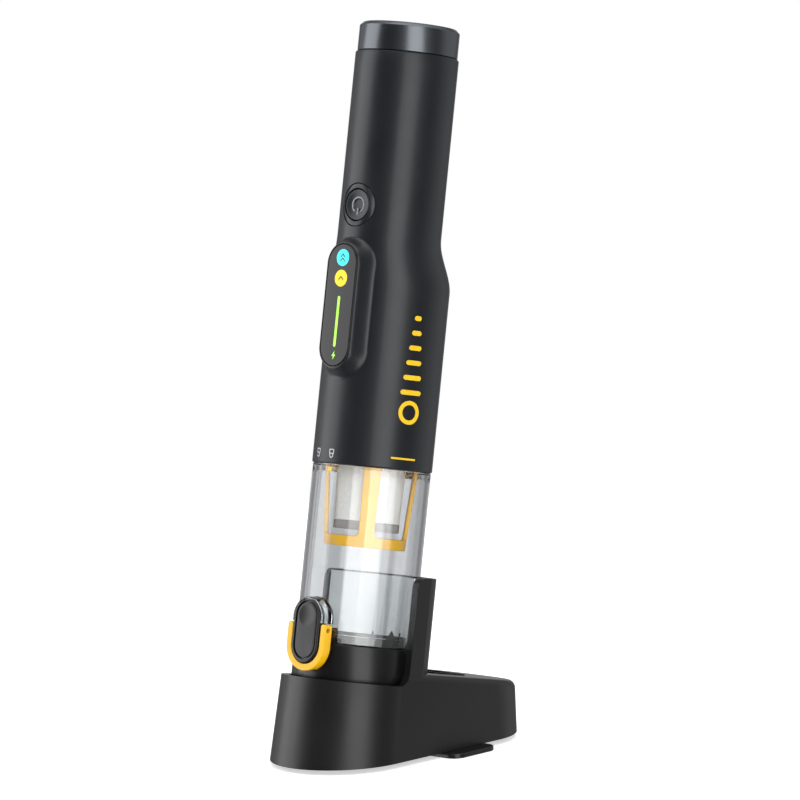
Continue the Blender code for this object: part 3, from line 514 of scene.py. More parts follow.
# ------------------------------------------------------------------------------ meshes
class Form:
    """A mesh in millimetres that bmesh operators shape."""

    def __init__(self) -> None:
        """Start empty."""
        self.bm = bmesh.new()

    @classmethod
    def turned(cls, profile: Sequence[Point], steps: int = SMOOTH_STEPS,
               dense: tuple[float, int] | None = None) -> Form:
        """Spin a profile of (radius, height) points round Z.

        Args:
            profile: a closed loop, or a line whose two ends lie on the axis.
            steps: sides of the round.
            dense: a front sector in degrees and its own number of sides, for fine detail.

        Returns:
            The closed form, with its front towards -Y.
        """
        form = cls()
        bm = form.bm
        sector, front = dense or (0.0, 0)
        start = Matrix.Rotation(math.radians(-90 - sector / 2), 3, "Z")
        verts = [bm.verts.new(start @ Vector((r, 0, z))) for r, z in profile]
        pairs = list(zip(verts, verts[1:]))
        if profile[0][0] > 0:
            pairs.append((verts[-1], verts[0]))
        edges = [bm.edges.new(pair) for pair in pairs]
        geom: list = verts + edges
        around = {"cent": (0, 0, 0), "axis": (0, 0, 1), "dvec": (0, 0, 0)}
        if dense:
            geom = bmesh.ops.spin(bm, geom=geom, angle=math.radians(sector), steps=front,
                                  **around)["geom_last"]
            bmesh.ops.spin(bm, geom=geom, angle=math.radians(360 - sector), steps=steps, **around)
        else:
            bmesh.ops.spin(bm, geom=geom, angle=math.tau, steps=steps, use_merge=True, **around)
        return form.clean()

    @classmethod
    def extruded(cls, outline: Iterable[Point], low: float, high: float) -> Form:
        """Fill an outline in X and Y and raise it from one height to another."""
        form = cls()
        verts = [form.bm.verts.new((x, y, low)) for x, y in outline]
        bmesh.ops.remove_doubles(form.bm, verts=verts, dist=WELD)
        face = form.bm.faces.new(form.bm.verts[:])
        raised = bmesh.ops.extrude_face_region(form.bm, geom=[face])["geom"]
        moved = [v for v in raised if isinstance(v, bmesh.types.BMVert)]
        bmesh.ops.translate(form.bm, verts=moved, vec=(0, 0, high - low))
        return form.clean()

    @classmethod
    def front(cls, outline: Iterable[Point], back: float, face: float) -> Form:
        """Fill an outline in X and Z that stands out of the front, from Y back to Y face."""
        return cls.extruded(outline, -back, -face).turn(90, "X")

    @classmethod
    def box(cls, low: Sequence[float], high: Sequence[float]) -> Form:
        """Make a box between two corners."""
        form = cls()
        bmesh.ops.create_cube(form.bm, size=1)
        size = [b - a for a, b in zip(low, high)]
        centre = [(a + b) / 2 for a, b in zip(low, high)]
        bmesh.ops.scale(form.bm, vec=size, verts=form.bm.verts)
        return form.move(*centre)

    @classmethod
    def rod(cls, radius: float, low: float, high: float, steps: int = SMALL_STEPS) -> Form:
        """Make a cylinder round Z."""
        form = cls()
        bmesh.ops.create_cone(form.bm, cap_ends=True, segments=steps, radius1=radius, radius2=radius,
                              depth=high - low)
        return form.move(0, 0, (low + high) / 2)

    @classmethod
    def ball(cls, radius: float, centre: Sequence[float], steps: int = 96) -> Form:
        """Make a sphere."""
        form = cls()
        bmesh.ops.create_uvsphere(form.bm, u_segments=steps, v_segments=steps // 2, radius=radius)
        return form.move(*centre)

    @classmethod
    def lofted(cls, loops: Sequence[Sequence[Vector]]) -> Form:
        """Bridge closed loops, one after another, and cap the first and the last."""
        form = cls()
        rings = []
        for loop in loops:
            verts = [form.bm.verts.new(point) for point in loop]
            rings.append([form.bm.edges.new(pair) for pair in zip(verts, verts[1:] + verts[:1])])
        for lower, upper in zip(rings, rings[1:]):
            bmesh.ops.bridge_loops(form.bm, edges=lower + upper)
        for ring in (rings[0], rings[-1]):
            bmesh.ops.edgeloop_fill(form.bm, edges=ring)
        return form.clean()

    @classmethod
    def coil(cls, radius: float, wire: float, turns: float, pitch: float, per_turn: int = 40) -> Form:
        """Screw a round wire section up into a coil with closed ends."""
        form = cls()
        ring = bmesh.ops.create_circle(form.bm, segments=14, radius=wire, cap_ends=True)["verts"]
        bmesh.ops.rotate(form.bm, verts=ring, cent=(0, 0, 0), matrix=Matrix.Rotation(math.pi / 2, 3, "X"))
        bmesh.ops.translate(form.bm, verts=ring, vec=(radius, 0, 0))
        steps = round(turns * per_turn)
        bmesh.ops.spin(form.bm, geom=form.bm.verts[:] + form.bm.edges[:] + form.bm.faces[:],
                       cent=(0, 0, 0), axis=(0, 0, 1), dvec=(0, 0, pitch * turns / steps),
                       angle=math.tau * turns, steps=steps)
        return form.clean()

    def clean(self) -> Form:
        """Merge doubles and point every face outwards."""
        bmesh.ops.remove_doubles(self.bm, verts=self.bm.verts, dist=WELD)
        bmesh.ops.recalc_face_normals(self.bm, faces=self.bm.faces)
        return self

    def move(self, x: float = 0.0, y: float = 0.0, z: float = 0.0) -> Form:
        """Shift the form."""
        bmesh.ops.translate(self.bm, verts=self.bm.verts, vec=(x, y, z))
        return self

    def turn(self, degrees: float, axis: str, centre: Sequence[float] = (0, 0, 0)) -> Form:
        """Turn the form about an axis through a point."""
        bmesh.ops.rotate(self.bm, verts=self.bm.verts, cent=centre,
                         matrix=Matrix.Rotation(math.radians(degrees), 3, axis))
        return self

    def shift_each(self, rule: Callable[[Vector], Vector]) -> Form:
        """Move every vertex to where a rule says."""
        for vert in self.bm.verts:
            vert.co = rule(vert.co)
        return self

    def soften(self, width: float, segments: int = 3, angle: float = 40.0,
               where: Callable[[Vector], bool] | None = None) -> Form:
        """Round the edges that are sharper than an angle.

        Args:
            width: how far the rounding reaches from the edge.
            segments: how many faces the rounding has.
            angle: edges between faces that turn less than this stay as they are.
            where: a test on the middle of an edge, to choose some of them.

        Returns:
            The form itself.
        """
        limit = math.radians(angle)
        edges = [e for e in self.bm.edges
                 if len(e.link_faces) == 2 and e.calc_face_angle(0.0) > limit
                 and (where is None or where((e.verts[0].co + e.verts[1].co) / 2))]
        bmesh.ops.bevel(self.bm, geom=edges, offset=width, segments=segments, profile=0.5,
                        affect="EDGES", material=-1, clamp_overlap=True, offset_type="OFFSET")
        return self.clean()

    def level_cut(self, point: Sequence[float], normal: Sequence[float]) -> Form:
        """Cut away what lies behind a plane, and close the cut."""
        cut = bmesh.ops.bisect_plane(self.bm, geom=self.bm.verts[:] + self.bm.edges[:] + self.bm.faces[:],
                                     plane_co=point, plane_no=normal, clear_inner=True)
        edges = [item for item in cut["geom_cut"] if isinstance(item, bmesh.types.BMEdge)]
        bmesh.ops.edgeloop_fill(self.bm, edges=edges)
        return self.clean()

    def closed(self) -> bool:
        """Tell whether the form is a closed solid with its faces outwards."""
        whole = all(edge.is_manifold for edge in self.bm.edges)
        return whole and self.bm.calc_volume(signed=True) > 0

    def combine(self, other: Form, operation: Boolean) -> Form:
        """Join, cut or intersect with another form, which is used up.

        Args:
            other: the form to combine with.
            operation: what happens where the two meet.

        Returns:
            The form itself, made again with a tolerance for flaws if the first result is open.
        """
        objects = []
        for name, form in (("combine_main", self), ("combine_other", other)):
            mesh = bpy.data.meshes.new(name)
            form.bm.to_mesh(mesh)
            objects.append(bpy.data.objects.new(name, mesh))
            bpy.context.scene.collection.objects.link(objects[-1])
        modifier = objects[0].modifiers.new("combine", "BOOLEAN")
        modifier.operation = operation.value
        modifier.object = objects[1]
        modifier.solver = "EXACT"
        for tolerant in (False, True):
            modifier.use_hole_tolerant = tolerant
            depsgraph = bpy.context.evaluated_depsgraph_get()
            result = bpy.data.meshes.new_from_object(objects[0].evaluated_get(depsgraph))
            self.bm.clear()
            self.bm.from_mesh(result)
            bpy.data.meshes.remove(result)
            bmesh.ops.remove_doubles(self.bm, verts=self.bm.verts, dist=WELD)
            slits = [edge for edge in self.bm.edges if edge.is_boundary]
            bmesh.ops.holes_fill(self.bm, edges=slits, sides=4)
            if self.closed():
                break
        other.bm.free()
        for obj in objects:
            bpy.data.meshes.remove(obj.data)
        return self

    def cut(self, *others: Form) -> Form:
        """Take other forms away."""
        for other in others:
            self.combine(other, Boolean.CUT)
        return self

    def join(self, *others: Form) -> Form:
        """Unite with other forms."""
        for other in others:
            self.combine(other, Boolean.JOIN)
        return self

    def add(self, other: Form) -> Form:
        """Take in the faces of a form that stands clear of this one."""
        mesh = bpy.data.meshes.new("added")
        other.bm.to_mesh(mesh)
        other.bm.free()
        self.bm.from_mesh(mesh)
        bpy.data.meshes.remove(mesh)
        return self

    def open_ends(self, reach: float) -> Form:
        """Take off the two end faces of a strip along X, so that bending it into a ring closes it."""
        ends = [f for f in self.bm.faces if all(abs(abs(v.co.x) - reach) < WELD for v in f.verts)]
        bmesh.ops.delete(self.bm, geom=ends, context="FACES")
        return self

    def slice_across(self, pitch: float) -> Form:
        """Divide the faces every few millimetres along X, so that they can bend."""
        reach = max(abs(v.co.x) for v in self.bm.verts)
        count = int(reach / pitch)
        for index in range(-count, count + 1):
            bmesh.ops.bisect_plane(self.bm, geom=self.bm.verts[:] + self.bm.edges[:] + self.bm.faces[:],
                                   plane_co=(index * pitch, 0, 0), plane_no=(1, 0, 0))
        return self

    def wrap(self, radius: float, azimuth: float, centre_y: float = 0.0, slope: float = 0.0,
             slope_from: float = 0.0) -> Form:
        """Bend a flat form in X and Z, thick towards -Y from 0, round the vacuum's axis.

        Args:
            radius: radius that Y = 0 takes.
            azimuth: where X = 0 goes, in degrees from the front towards +X.
            centre_y: where the axis of the bend is.
            slope: how much the radius grows for each millimetre of height.
            slope_from: height at which the radius is as given.

        Returns:
            The form itself.
        """
        def bend(co: Vector) -> Vector:
            reach = radius - co.y + slope * (co.z - slope_from)
            angle = math.radians(azimuth) + co.x / radius
            return Vector((reach * math.sin(angle), centre_y - reach * math.cos(angle), co.z))
        return self.shift_each(bend).clean()


@dataclass(frozen=True)
class Stand:
    """Where the vacuum's axis meets the dock's underside, and how far it leans."""

    foot: Vector
    tilt: float

    current = None

    @classmethod
    def from_frame(cls, frame: dict) -> Stand:
        """Read the lean from the lift-out joint and the foot from the round front foot."""
        axis = next(joint["axis"] for joint in frame["joints"] if joint["name"] == "lift_out")
        low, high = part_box("dock_front_foot")
        gap = 0.1 * MM
        foot = Vector(((low.x + high.x) / 2, (low.y + high.y) / 2, high.z + gap))
        cls.current = cls(foot, math.atan2(axis[1], axis[2]))
        return cls.current

    def matrix(self, axes: Axes) -> Matrix:
        """Return the step from millimetres on these axes to the frame's metres."""
        tilt = self.tilt if axes is Axes.LEAN else 0.0
        return (Matrix.Translation(self.foot) @ Matrix.Rotation(-tilt, 4, "X") @ Matrix.Scale(MM, 4))

    def lean(self, point: Sequence[float]) -> Vector:
        """Turn a point on the leaning axes into one on the level axes."""
        return Matrix.Rotation(-self.tilt, 3, "X") @ Vector(point)


def make_piece(form: Form, name: str, finish: Finish, body: str, replaced: Sequence[str] = (),
               axes: Axes = Axes.LEAN, sharp: float = SHARP) -> bpy.types.Object:
    """Make a finished piece of a form, in place, and hang it on its body.

    Args:
        form: the shape in millimetres, which is used up.
        name: the piece's name.
        finish: its material.
        body: the CAD body it moves with.
        replaced: the CAD nodes it stands for.
        axes: the axes that the form's sizes are on.
        sharp: edges that turn more than this, in degrees, stay hard.

    Returns:
        The piece.
    """
    bmesh.ops.transform(form.bm, matrix=Stand.current.matrix(axes), verts=form.bm.verts)
    mesh = bpy.data.meshes.new(name)
    form.bm.to_mesh(mesh)
    form.bm.free()
    mesh.shade_smooth()
    mesh.set_sharp_from_angle(angle=math.radians(sharp))
    mesh.materials.append(finish.material())
    piece = bpy.data.objects.new(name, mesh)
    bpy.context.scene.collection.objects.link(piece)
    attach(piece, body)
    if replaced:
        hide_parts(*replaced)
    log.info("%s: %d faces on %s", name, len(mesh.polygons), body)
    return piece


# ------------------------------------------------------------------------------ the studio
@dataclass
class Studio:
    """A white floor, soft light from panels, and the camera; lengths are in mm if not said."""

    azimuth: float = 44.05       # camera, from the front towards +X
    elevation: float = 7.12
    roll: float = -2.32
    distance: float = 2435.76
    aside: float = 33.5
    height: float = 168.3
    lens: float = 234.0
    floor_half: float = 0.85     # radius of the floor, metres
    walls: tuple[Point, ...] = (     # how bright the room's walls are, by azimuth in degrees
        (-180, 0.4), (180, 0.4), (-168, 0.16), (-158, 0.22), (-148, 0.5), (-136, 0.62), (-124, 0.5),
        (-116, 0.2), (-106, 0.16), (-98, 0.55), (-90, 0.4), (-34, 0.3), (-15, 0.1), (10, 0.12),
        (35, 0.3), (90, 0.3), (105, 0.16), (118, 0.2), (140, 0.55), (165, 0.55))

    def direction(self, azimuth: float, elevation: float = 0.0) -> Vector:
        """Return the way out from the object at two angles in degrees."""
        turn, rise = math.radians(azimuth), math.radians(elevation)
        return Vector((math.sin(turn) * math.cos(rise), -math.cos(turn) * math.cos(rise), math.sin(rise)))

    def place_camera(self) -> None:
        """Set the camera where the object is seen from its right front."""
        back = self.direction(self.azimuth, self.elevation)
        right = self.direction(self.azimuth + 90)
        up = back.cross(right)
        turn = math.radians(self.roll)
        x_axis = right * math.cos(turn) + up * math.sin(turn)
        y_axis = up * math.cos(turn) - right * math.sin(turn)
        spot = (Stand.current.foot + Vector((0, 0, self.height * MM)) + right * self.aside * MM
                + back * self.distance * MM)
        data = bpy.data.cameras.new("camera")
        data.lens = self.lens
        data.sensor_width = 36.0
        data.clip_end = 50.0
        camera = bpy.data.objects.new("camera", data)
        basis = Matrix((x_axis, y_axis, back)).transposed()
        camera.matrix_world = Matrix.Translation(spot) @ basis.to_4x4()
        bpy.context.scene.collection.objects.link(camera)
        bpy.context.scene.camera = camera

    def panel(self, name: str, azimuth: float, width: float, radiance: float, distance: float = 1.3,
              low: float = 0.05, high: float = 1.3, elevation: float = 0.0) -> bpy.types.Object:
        """Stand a soft panel on its edge, facing the object.

        Args:
            name: the light's name.
            azimuth: its middle, in degrees from the front towards +X.
            width: how many degrees it covers.
            radiance: how bright its face is.
            distance: how far away it stands, in metres.
            low: its lower edge, in metres above the floor.
            high: its upper edge.
            elevation: how far it is tipped up over the object.

        Returns:
            The light.
        """
        data = bpy.data.lights.new(name, "AREA")
        data.shape = "RECTANGLE"
        data.size = 2 * distance * math.tan(math.radians(width / 2))
        data.size_y = high - low
        data.energy = radiance * math.pi * data.size * data.size_y
        light = bpy.data.objects.new(name, data)
        out = self.direction(azimuth, elevation)
        light.location = out * distance + Vector((0, 0, (low + high) / 2))
        light.rotation_euler = out.to_track_quat("Z", "Y").to_euler()
        light.visible_camera = False
        bpy.context.scene.collection.objects.link(light)
        return light

    def build(self) -> None:
        """Make the floor, the panels, the surround and the camera."""
        bm = bmesh.new()
        bmesh.ops.create_circle(bm, segments=SMOOTH_STEPS, radius=self.floor_half, cap_ends=True)
        mesh = bpy.data.meshes.new("floor")
        bm.to_mesh(mesh)
        bm.free()
        paper = PrintedInk("studio_paper_white", "#f7f7f7", 0.9, 1.5, glow=0.6, screen=2.0)
        mesh.materials.append(paper.material())
        floor = bpy.data.objects.new("floor", mesh)
        bpy.context.scene.collection.objects.link(floor)
        floor.visible_glossy = False
        floor.visible_transmission = False
        self.panel("strip_panel", 61.0, 36.0, 2.3, low=-0.7)
        self.panel("left_rim_panel", -55.0, 44.0, 1.9, low=-0.7)
        self.panel("cup_panel", 52.0, 87.0, 2.2, distance=1.25, low=-0.7)
        self.panel("top_panel", 44.0, 80.0, 1.2, distance=1.8, low=0.0, high=2.4, elevation=80.0)
        self.surround()
        self.place_camera()

    def light_only(self, light: bpy.types.Object, *pieces: str) -> None:
        """Flag a light off from all but a few pieces, as black cloth does in a studio."""
        chosen = bpy.data.collections.new(light.name + "_receivers")
        for name in pieces:
            chosen.objects.link(bpy.data.objects[name])
        light.light_linking.receiver_collection = chosen

    def surround(self) -> None:
        """Paint a white backdrop for the camera and a softer room for everything else."""
        world = bpy.data.worlds.new("studio_room")
        bpy.context.scene.world = world
        bpy.context.scene.view_settings.view_transform = "Standard"
        world.use_nodes = True
        tree = world.node_tree
        tree.nodes.clear()
        way = add_node(tree, "ShaderNodeTexCoord").outputs["Generated"]
        axes = add_node(tree, "ShaderNodeSeparateXYZ", {0: way})
        front = add_node(tree, "ShaderNodeMath", {0: axes.outputs[1], 1: -1.0}, operation="MULTIPLY")
        turn = add_node(tree, "ShaderNodeMath", {0: axes.outputs[0], 1: front.outputs[0]},
                        operation="ARCTAN2")
        share = add_node(tree, "ShaderNodeMapRange",
                         {"Value": turn.outputs[0], "From Min": -math.pi, "From Max": math.pi})
        walls = add_node(tree, "ShaderNodeValToRGB", {0: share.outputs[0]})
        stops = walls.color_ramp.elements
        for azimuth, level in self.walls[2:]:
            stops.new((azimuth + 180) / 360)
        for stop, (azimuth, level) in zip(stops, sorted(self.walls)):
            stop.position = (azimuth + 180) / 360
            stop.color = (level, level, level * 1.02, 1)
        up = add_node(tree, "ShaderNodeMapRange",
                      {"Value": axes.outputs[2], "From Min": 0.45, "From Max": 0.85})
        room = add_node(tree, "ShaderNodeMix",
                        {0: up.outputs[0], 6: walls.outputs[0], 7: (0.7, 0.71, 0.73, 1)}, data_type="RGBA")
        soft = add_node(tree, "ShaderNodeBackground", {"Color": room.outputs[2], "Strength": 1.0})
        white = add_node(tree, "ShaderNodeBackground", {"Color": (1, 1, 1, 1), "Strength": 1.0})
        path = add_node(tree, "ShaderNodeLightPath")
        both = add_node(tree, "ShaderNodeMixShader",
                        {0: path.outputs["Is Camera Ray"], 1: soft.outputs[0], 2: white.outputs[0]})
        add_node(tree, "ShaderNodeOutputWorld", {"Surface": both.outputs[0]})


# ------------------------------------------------------------------------------ the dock
@dataclass
class Dock:
    """The storage dock: round front, tail, spine behind the cup, well and accessory slot."""

    front_r: float = 34.8
    draft: float = 1.9           # how much the front draws in up to the top
    tail_end: float = 101.0
    corner: float = 31.0
    corner_half: float = 5.0
    top: float = 42.5
    rim: float = 36.0
    edge: float = 3.5
    wall: float = 2.6
    well_r: float = 29.6
    well_floor: float = 5.6
    spine_r: float = 36.0
    spine_y: float = -0.6
    spine_half: float = 33.0
    spine_edge: float = 5.0
    spine_top: float = 87.6
    spine_corner: float = 5.0
    slot_half: float = 17.0
    slot_front: float = 47.0
    slot_rear: float = 67.0
    slot_floor: float = 9.0
    foot: float = 2.4
    screws: tuple[Point, ...] = ((28.0, 50.0), (-28.0, 50.0), (0.0, 88.0))

    def outline(self, front: float, centre_y: float, squash: float, inset: float = 0.0) -> list[Point]:
        """Return the plan: a round front, sides that open slightly, and a round tail."""
        half = [math.radians(-90 + 180 * i / 64) for i in range(65)]
        nose = [(front * math.sin(a), centre_y - front * squash * math.cos(a)) for a in half]
        tail_y = self.tail_end - self.corner
        radius = self.corner - inset
        return (nose + arc((self.corner_half, tail_y), radius, 0, 90, 32)
                + arc((-self.corner_half, tail_y), radius, 90, 180, 32))

    def block(self, inset: float, low: float, top: float) -> Form:
        """Loft the wall from its plan on the table to the top plane, square to the vacuum."""
        tilt = Stand.current.tilt
        lower = [Vector((x, y, low)) for x, y in self.outline(self.front_r - inset, 0.0, 1.0, inset)]
        upper = [Vector((x, y, (top - y * math.sin(tilt)) / math.cos(tilt)))
                 for x, y in self.outline(self.front_r - self.draft - inset, top * math.sin(tilt),
                                          math.cos(tilt), inset)]
        return Form.lofted([lower, upper])

    def leaning(self, form: Form) -> Form:
        """Lean a form that was made upright."""
        return form.turn(-math.degrees(Stand.current.tilt), "X")

    def spine(self) -> Form:
        """Make the upright back rest, flush with the walls and round behind."""
        column = Form.turned([(0, self.spine_top), (self.spine_r, self.spine_top), (self.spine_r, 20),
                              (0, 20)], SMOOTH_STEPS * 2).move(0, self.spine_y, 0)
        slab = Form.box((-self.spine_half, self.spine_edge - 1, 0), (self.spine_half, 80, 120))
        column.combine(slab, Boolean.KEEP_COMMON)
        column.soften(0.9, 4, 15.0, lambda p: p.z > 22 and p.y > self.spine_edge)
        return self.leaning(column)

    def front_cutter(self) -> Form:
        """Fill what is open in front of the spine, down to the rim, with round corners."""
        fillet = self.top - self.rim
        corner = self.spine_corner
        outline = ([(-60.0, self.rim)] + arc((self.spine_edge - fillet, self.top), fillet, 270, 360, 20)
                   + arc((self.spine_edge + corner, self.spine_top - corner), corner, 180, 90, 14)
                   + [(self.spine_edge + corner, 120.0), (-60.0, 120.0)])
        form = Form.extruded(outline, -45, 45).turn(90, "X").turn(90, "Z")
        return self.leaning(form)

    def slot_form(self, grow: float, floor: float, top: float) -> Form:
        """Make the accessory slot's block, grown by some millimetres."""
        outline = rounded(self.slot_half + grow, self.slot_front - grow, self.slot_rear + grow, 3.0 + grow)
        return Form.extruded(outline, floor, top)

    def body(self) -> Form:
        """Join the block and the spine, and open the well, the slot and the underside."""
        roof_edge = self.top - 8
        dock = self.block(0.0, 0.0, self.top)
        dock.soften(self.edge, 8, 40.0, lambda p: p.z > roof_edge * 0.5)
        bmesh.ops.triangulate(dock.bm, faces=dock.bm.faces)
        dock.join(self.spine())
        dock.cut(self.front_cutter())
        well = self.leaning(Form.rod(self.well_r, -30, 120, SMOOTH_STEPS))
        dock.cut(well.level_cut((0, 0, self.well_floor), (0, 0, 1)))
        lip = self.slot_form(1.6, 14.0, 60.0)
        lip.combine(self.block(8.0, 12.0, self.top + 0.7), Boolean.KEEP_COMMON)
        dock.join(lip)
        dock.cut(self.slot_form(0.0, self.slot_floor, 60.0))
        hollow = self.block(self.wall, -2.0, self.top - self.wall)
        bmesh.ops.triangulate(hollow.bm, faces=hollow.bm.faces)
        hollow.cut(self.leaning(Form.rod(self.well_r + 3.6, -10, 120, SMOOTH_STEPS)).level_cut(
            (0, 0, 3.0), (0, 0, 1)))
        hollow.cut(self.slot_form(2.0, self.slot_floor - 2, 60.0))
        hollow.cut(*(Form.rod(3.6, 3.2, 60.0).move(x, y, 0) for x, y in self.screws))
        dock.cut(hollow)
        dock.cut(*(Form.rod(1.6, -1.0, 12.0, 24).move(x, y, 0) for x, y in self.screws))
        return dock

    def build(self) -> None:
        """Make the dock's pieces."""
        make_piece(self.body(), "dock_shell", DOCK_ABS, "dock", ["dock_body"], Axes.LEVEL)
        # A pale sheet round the cradle behind the cup: painted light that makes the clear cup look bright
        # inside.
        cradle_light_sheet = Form.turned([(self.well_r - 0.15, self.spine_top - 0.8), (self.well_r - 0.15, 12.0),
                             (self.well_r - 0.6, 12.0), (self.well_r - 0.6, self.spine_top - 0.8)], 160)
        cradle_light_sheet.combine(Form.box((-40, self.spine_edge + 1.5, 10), (40, 40, 90)), Boolean.KEEP_COMMON)
        make_piece(cradle_light_sheet, "dock_cradle_light_sheet", PALE_LIGHT_SHEET, "dock")
        inset = self.wall + 0.4
        lean_room = 1.1
        base = Form.extruded(self.outline(self.front_r - inset - lean_room, 0.0, 1.0, inset), 0.2, 2.4)
        base.soften(0.3, 2)
        base.cut(*(Form.rod(2.8, -1, 4, 32).move(x, y, 0) for x, y in self.screws))
        ribs = [Form.rod(0.9, 0.0, 0.45, 16).move(x, y, 0) for x in (-18, -9, 0, 9, 18) for y in (70, 78)]
        base.cut(*ribs)
        make_piece(base, "dock_underside", DOCK_ABS, "dock", ["dock_base_plate"], Axes.LEVEL)
        pad = Form.turned([(0, -0.1), (23, -0.1), (23, -self.foot), (20.5, -self.foot),
                           (20.0, -self.foot + 0.5), (17.0, -self.foot + 0.5), (16.5, -self.foot),
                           (0, -self.foot)]).soften(0.3, 3)
        make_piece(pad, "dock_round_foot", FOOT_RUBBER, "dock", ["dock_front_foot"],
                   Axes.LEVEL)
        plate = Form.extruded(rounded(44.0, 31.0, 60.5, 6.0, 16), -self.foot, -0.1).soften(0.5, 4)
        make_piece(plate, "dock_foot_plate", DOCK_ABS, "dock", ["dock_rear_foot"],
                   Axes.LEVEL)
        for index, (x, y) in enumerate(self.screws, 1):
            screw = screw_form(2.4, 1.3, 8.0).move(x, y, 0.5)
            make_piece(screw, f"dock_screw_fine_{index}", STEEL, "dock",
                       [f"dock_screw_{index}"], Axes.LEVEL)


def screw_form(head: float, shank: float, length: float) -> Form:
    """Make a pan-head screw, head down, with a cross recess."""
    profile = [(0, length), (shank * 0.6, length - 0.4), (shank, length - 1.0), (shank, 1.6),
               (head, 1.1), (head, 0.4), (head - 0.5, 0), (0, 0)]
    screw = Form.turned(profile, 32)
    for turn in (0, 90):
        screw.cut(Form.box((-head * 0.55, -0.25, -1), (head * 0.55, 0.25, 0.7)).turn(turn, "Z"))
    return screw


# ------------------------------------------------------------------------------ nozzle cover
@dataclass
class NozzleCover:
    """The black cover round the nozzle, its seal, and the intake duct with its flap."""

    radius: float = 28.4
    low: float = 12.0
    top: float = 52.9
    spigot_r: float = 24.4
    spigot_bore: float = 23.1
    tab_half: float = 12.0
    tab_top: float = 55.4
    duct: Point = (7.3, 13.7)
    duct_r: float = 7.2
    bore: float = 5.4
    crown_turn: float = -40.0
    spike: float = 5.4
    spike_reach: float = 38.0
    spikes: tuple[float, ...] = (-84.0, 12.0, 78.0)      # round the duct, from its flap's far side

    def cover(self) -> Form:
        """Turn the cover, raise its tab behind the latch, and open the duct's hole."""
        profile = [(0, 49), (self.spigot_bore, 49), (self.spigot_bore, 57.5), (self.spigot_r, 57.5),
                   (self.spigot_r, self.top), (self.radius, self.top), (self.radius, 30), (20.5, self.low),
                   (18.3, self.low), (26.2, 31), (26.2, 46.5), (0, 46.5)]
        form = Form.turned(profile, SMOOTH_STEPS).soften(0.45, 3, 25.0, lambda p: p.length > 10)
        tab = Form.turned([(self.radius, self.tab_top), (self.radius, self.top - 2),
                           (self.spigot_r - 0.5, self.top - 2), (self.spigot_r - 0.5, self.tab_top)])
        tab.soften(0.4, 3)
        tab.combine(Form.box((-self.tab_half, -40, 40), (self.tab_half, 0, 60)), Boolean.KEEP_COMMON)
        form.cut(Form.rod(self.duct_r + 0.3, 40, 55).move(*self.duct, 0))
        form.join(tab)
        return form.join(Form.box((-4, -30.0, 42), (4, -27.0, 46)).soften(0.4, 2))

    def crown_height(self, co: Vector) -> float:
        """Return the crown's height: spikes with hollow flanks, away from the flap's hinge."""
        angle = math.degrees(math.atan2(co.y, co.x))
        near = min(abs(angle - spike) for spike in self.spikes) / self.spike_reach
        return 58.0 + self.spike * max(0.0, 1 - near) ** 1.5

    def duct_form(self) -> Form:
        """Turn the duct and draw its rim up into the crown."""
        wall = self.duct_r - 0.85
        form = Form.turned([(self.duct_r, 46.8), (self.duct_r, 58.0), (wall, 58.0), (wall, 57.4),
                            (self.bore, 57.4), (self.bore, 46.8)], 96)
        for vert in form.bm.verts:
            if vert.co.z > 57.9:
                vert.co.z = self.crown_height(vert.co)
        return form.turn(self.crown_turn, "Z").move(*self.duct, 0)

    def build(self) -> None:
        """Make the cover's pieces."""
        make_piece(self.cover(), "cover_moulding", COVER_ABS, "nozzle_cover",
                   ["nozzle_cover"])
        seal = Form.turned([(self.spigot_r, 59.4), (self.spigot_r, 57.8), (self.spigot_bore, 57.8),
                            (self.spigot_bore, 59.4)]).soften(0.35, 3)
        make_piece(seal, "cover_lip_seal", SEAL_RUBBER, "nozzle_cover", ["cover_seal"])
        make_piece(self.duct_form(), "intake_crown", COVER_ABS, "nozzle_cover",
                   ["intake_duct"])
        flap = Form.turned([(0, 58.5), (6.0, 58.5), (6.0, 57.7), (0, 57.7)], 64).soften(0.25, 3)
        make_piece(flap.move(*self.duct, 0), "intake_flap_disc", SEAL_RUBBER, "intake_flap",
                   ["intake_flap"])


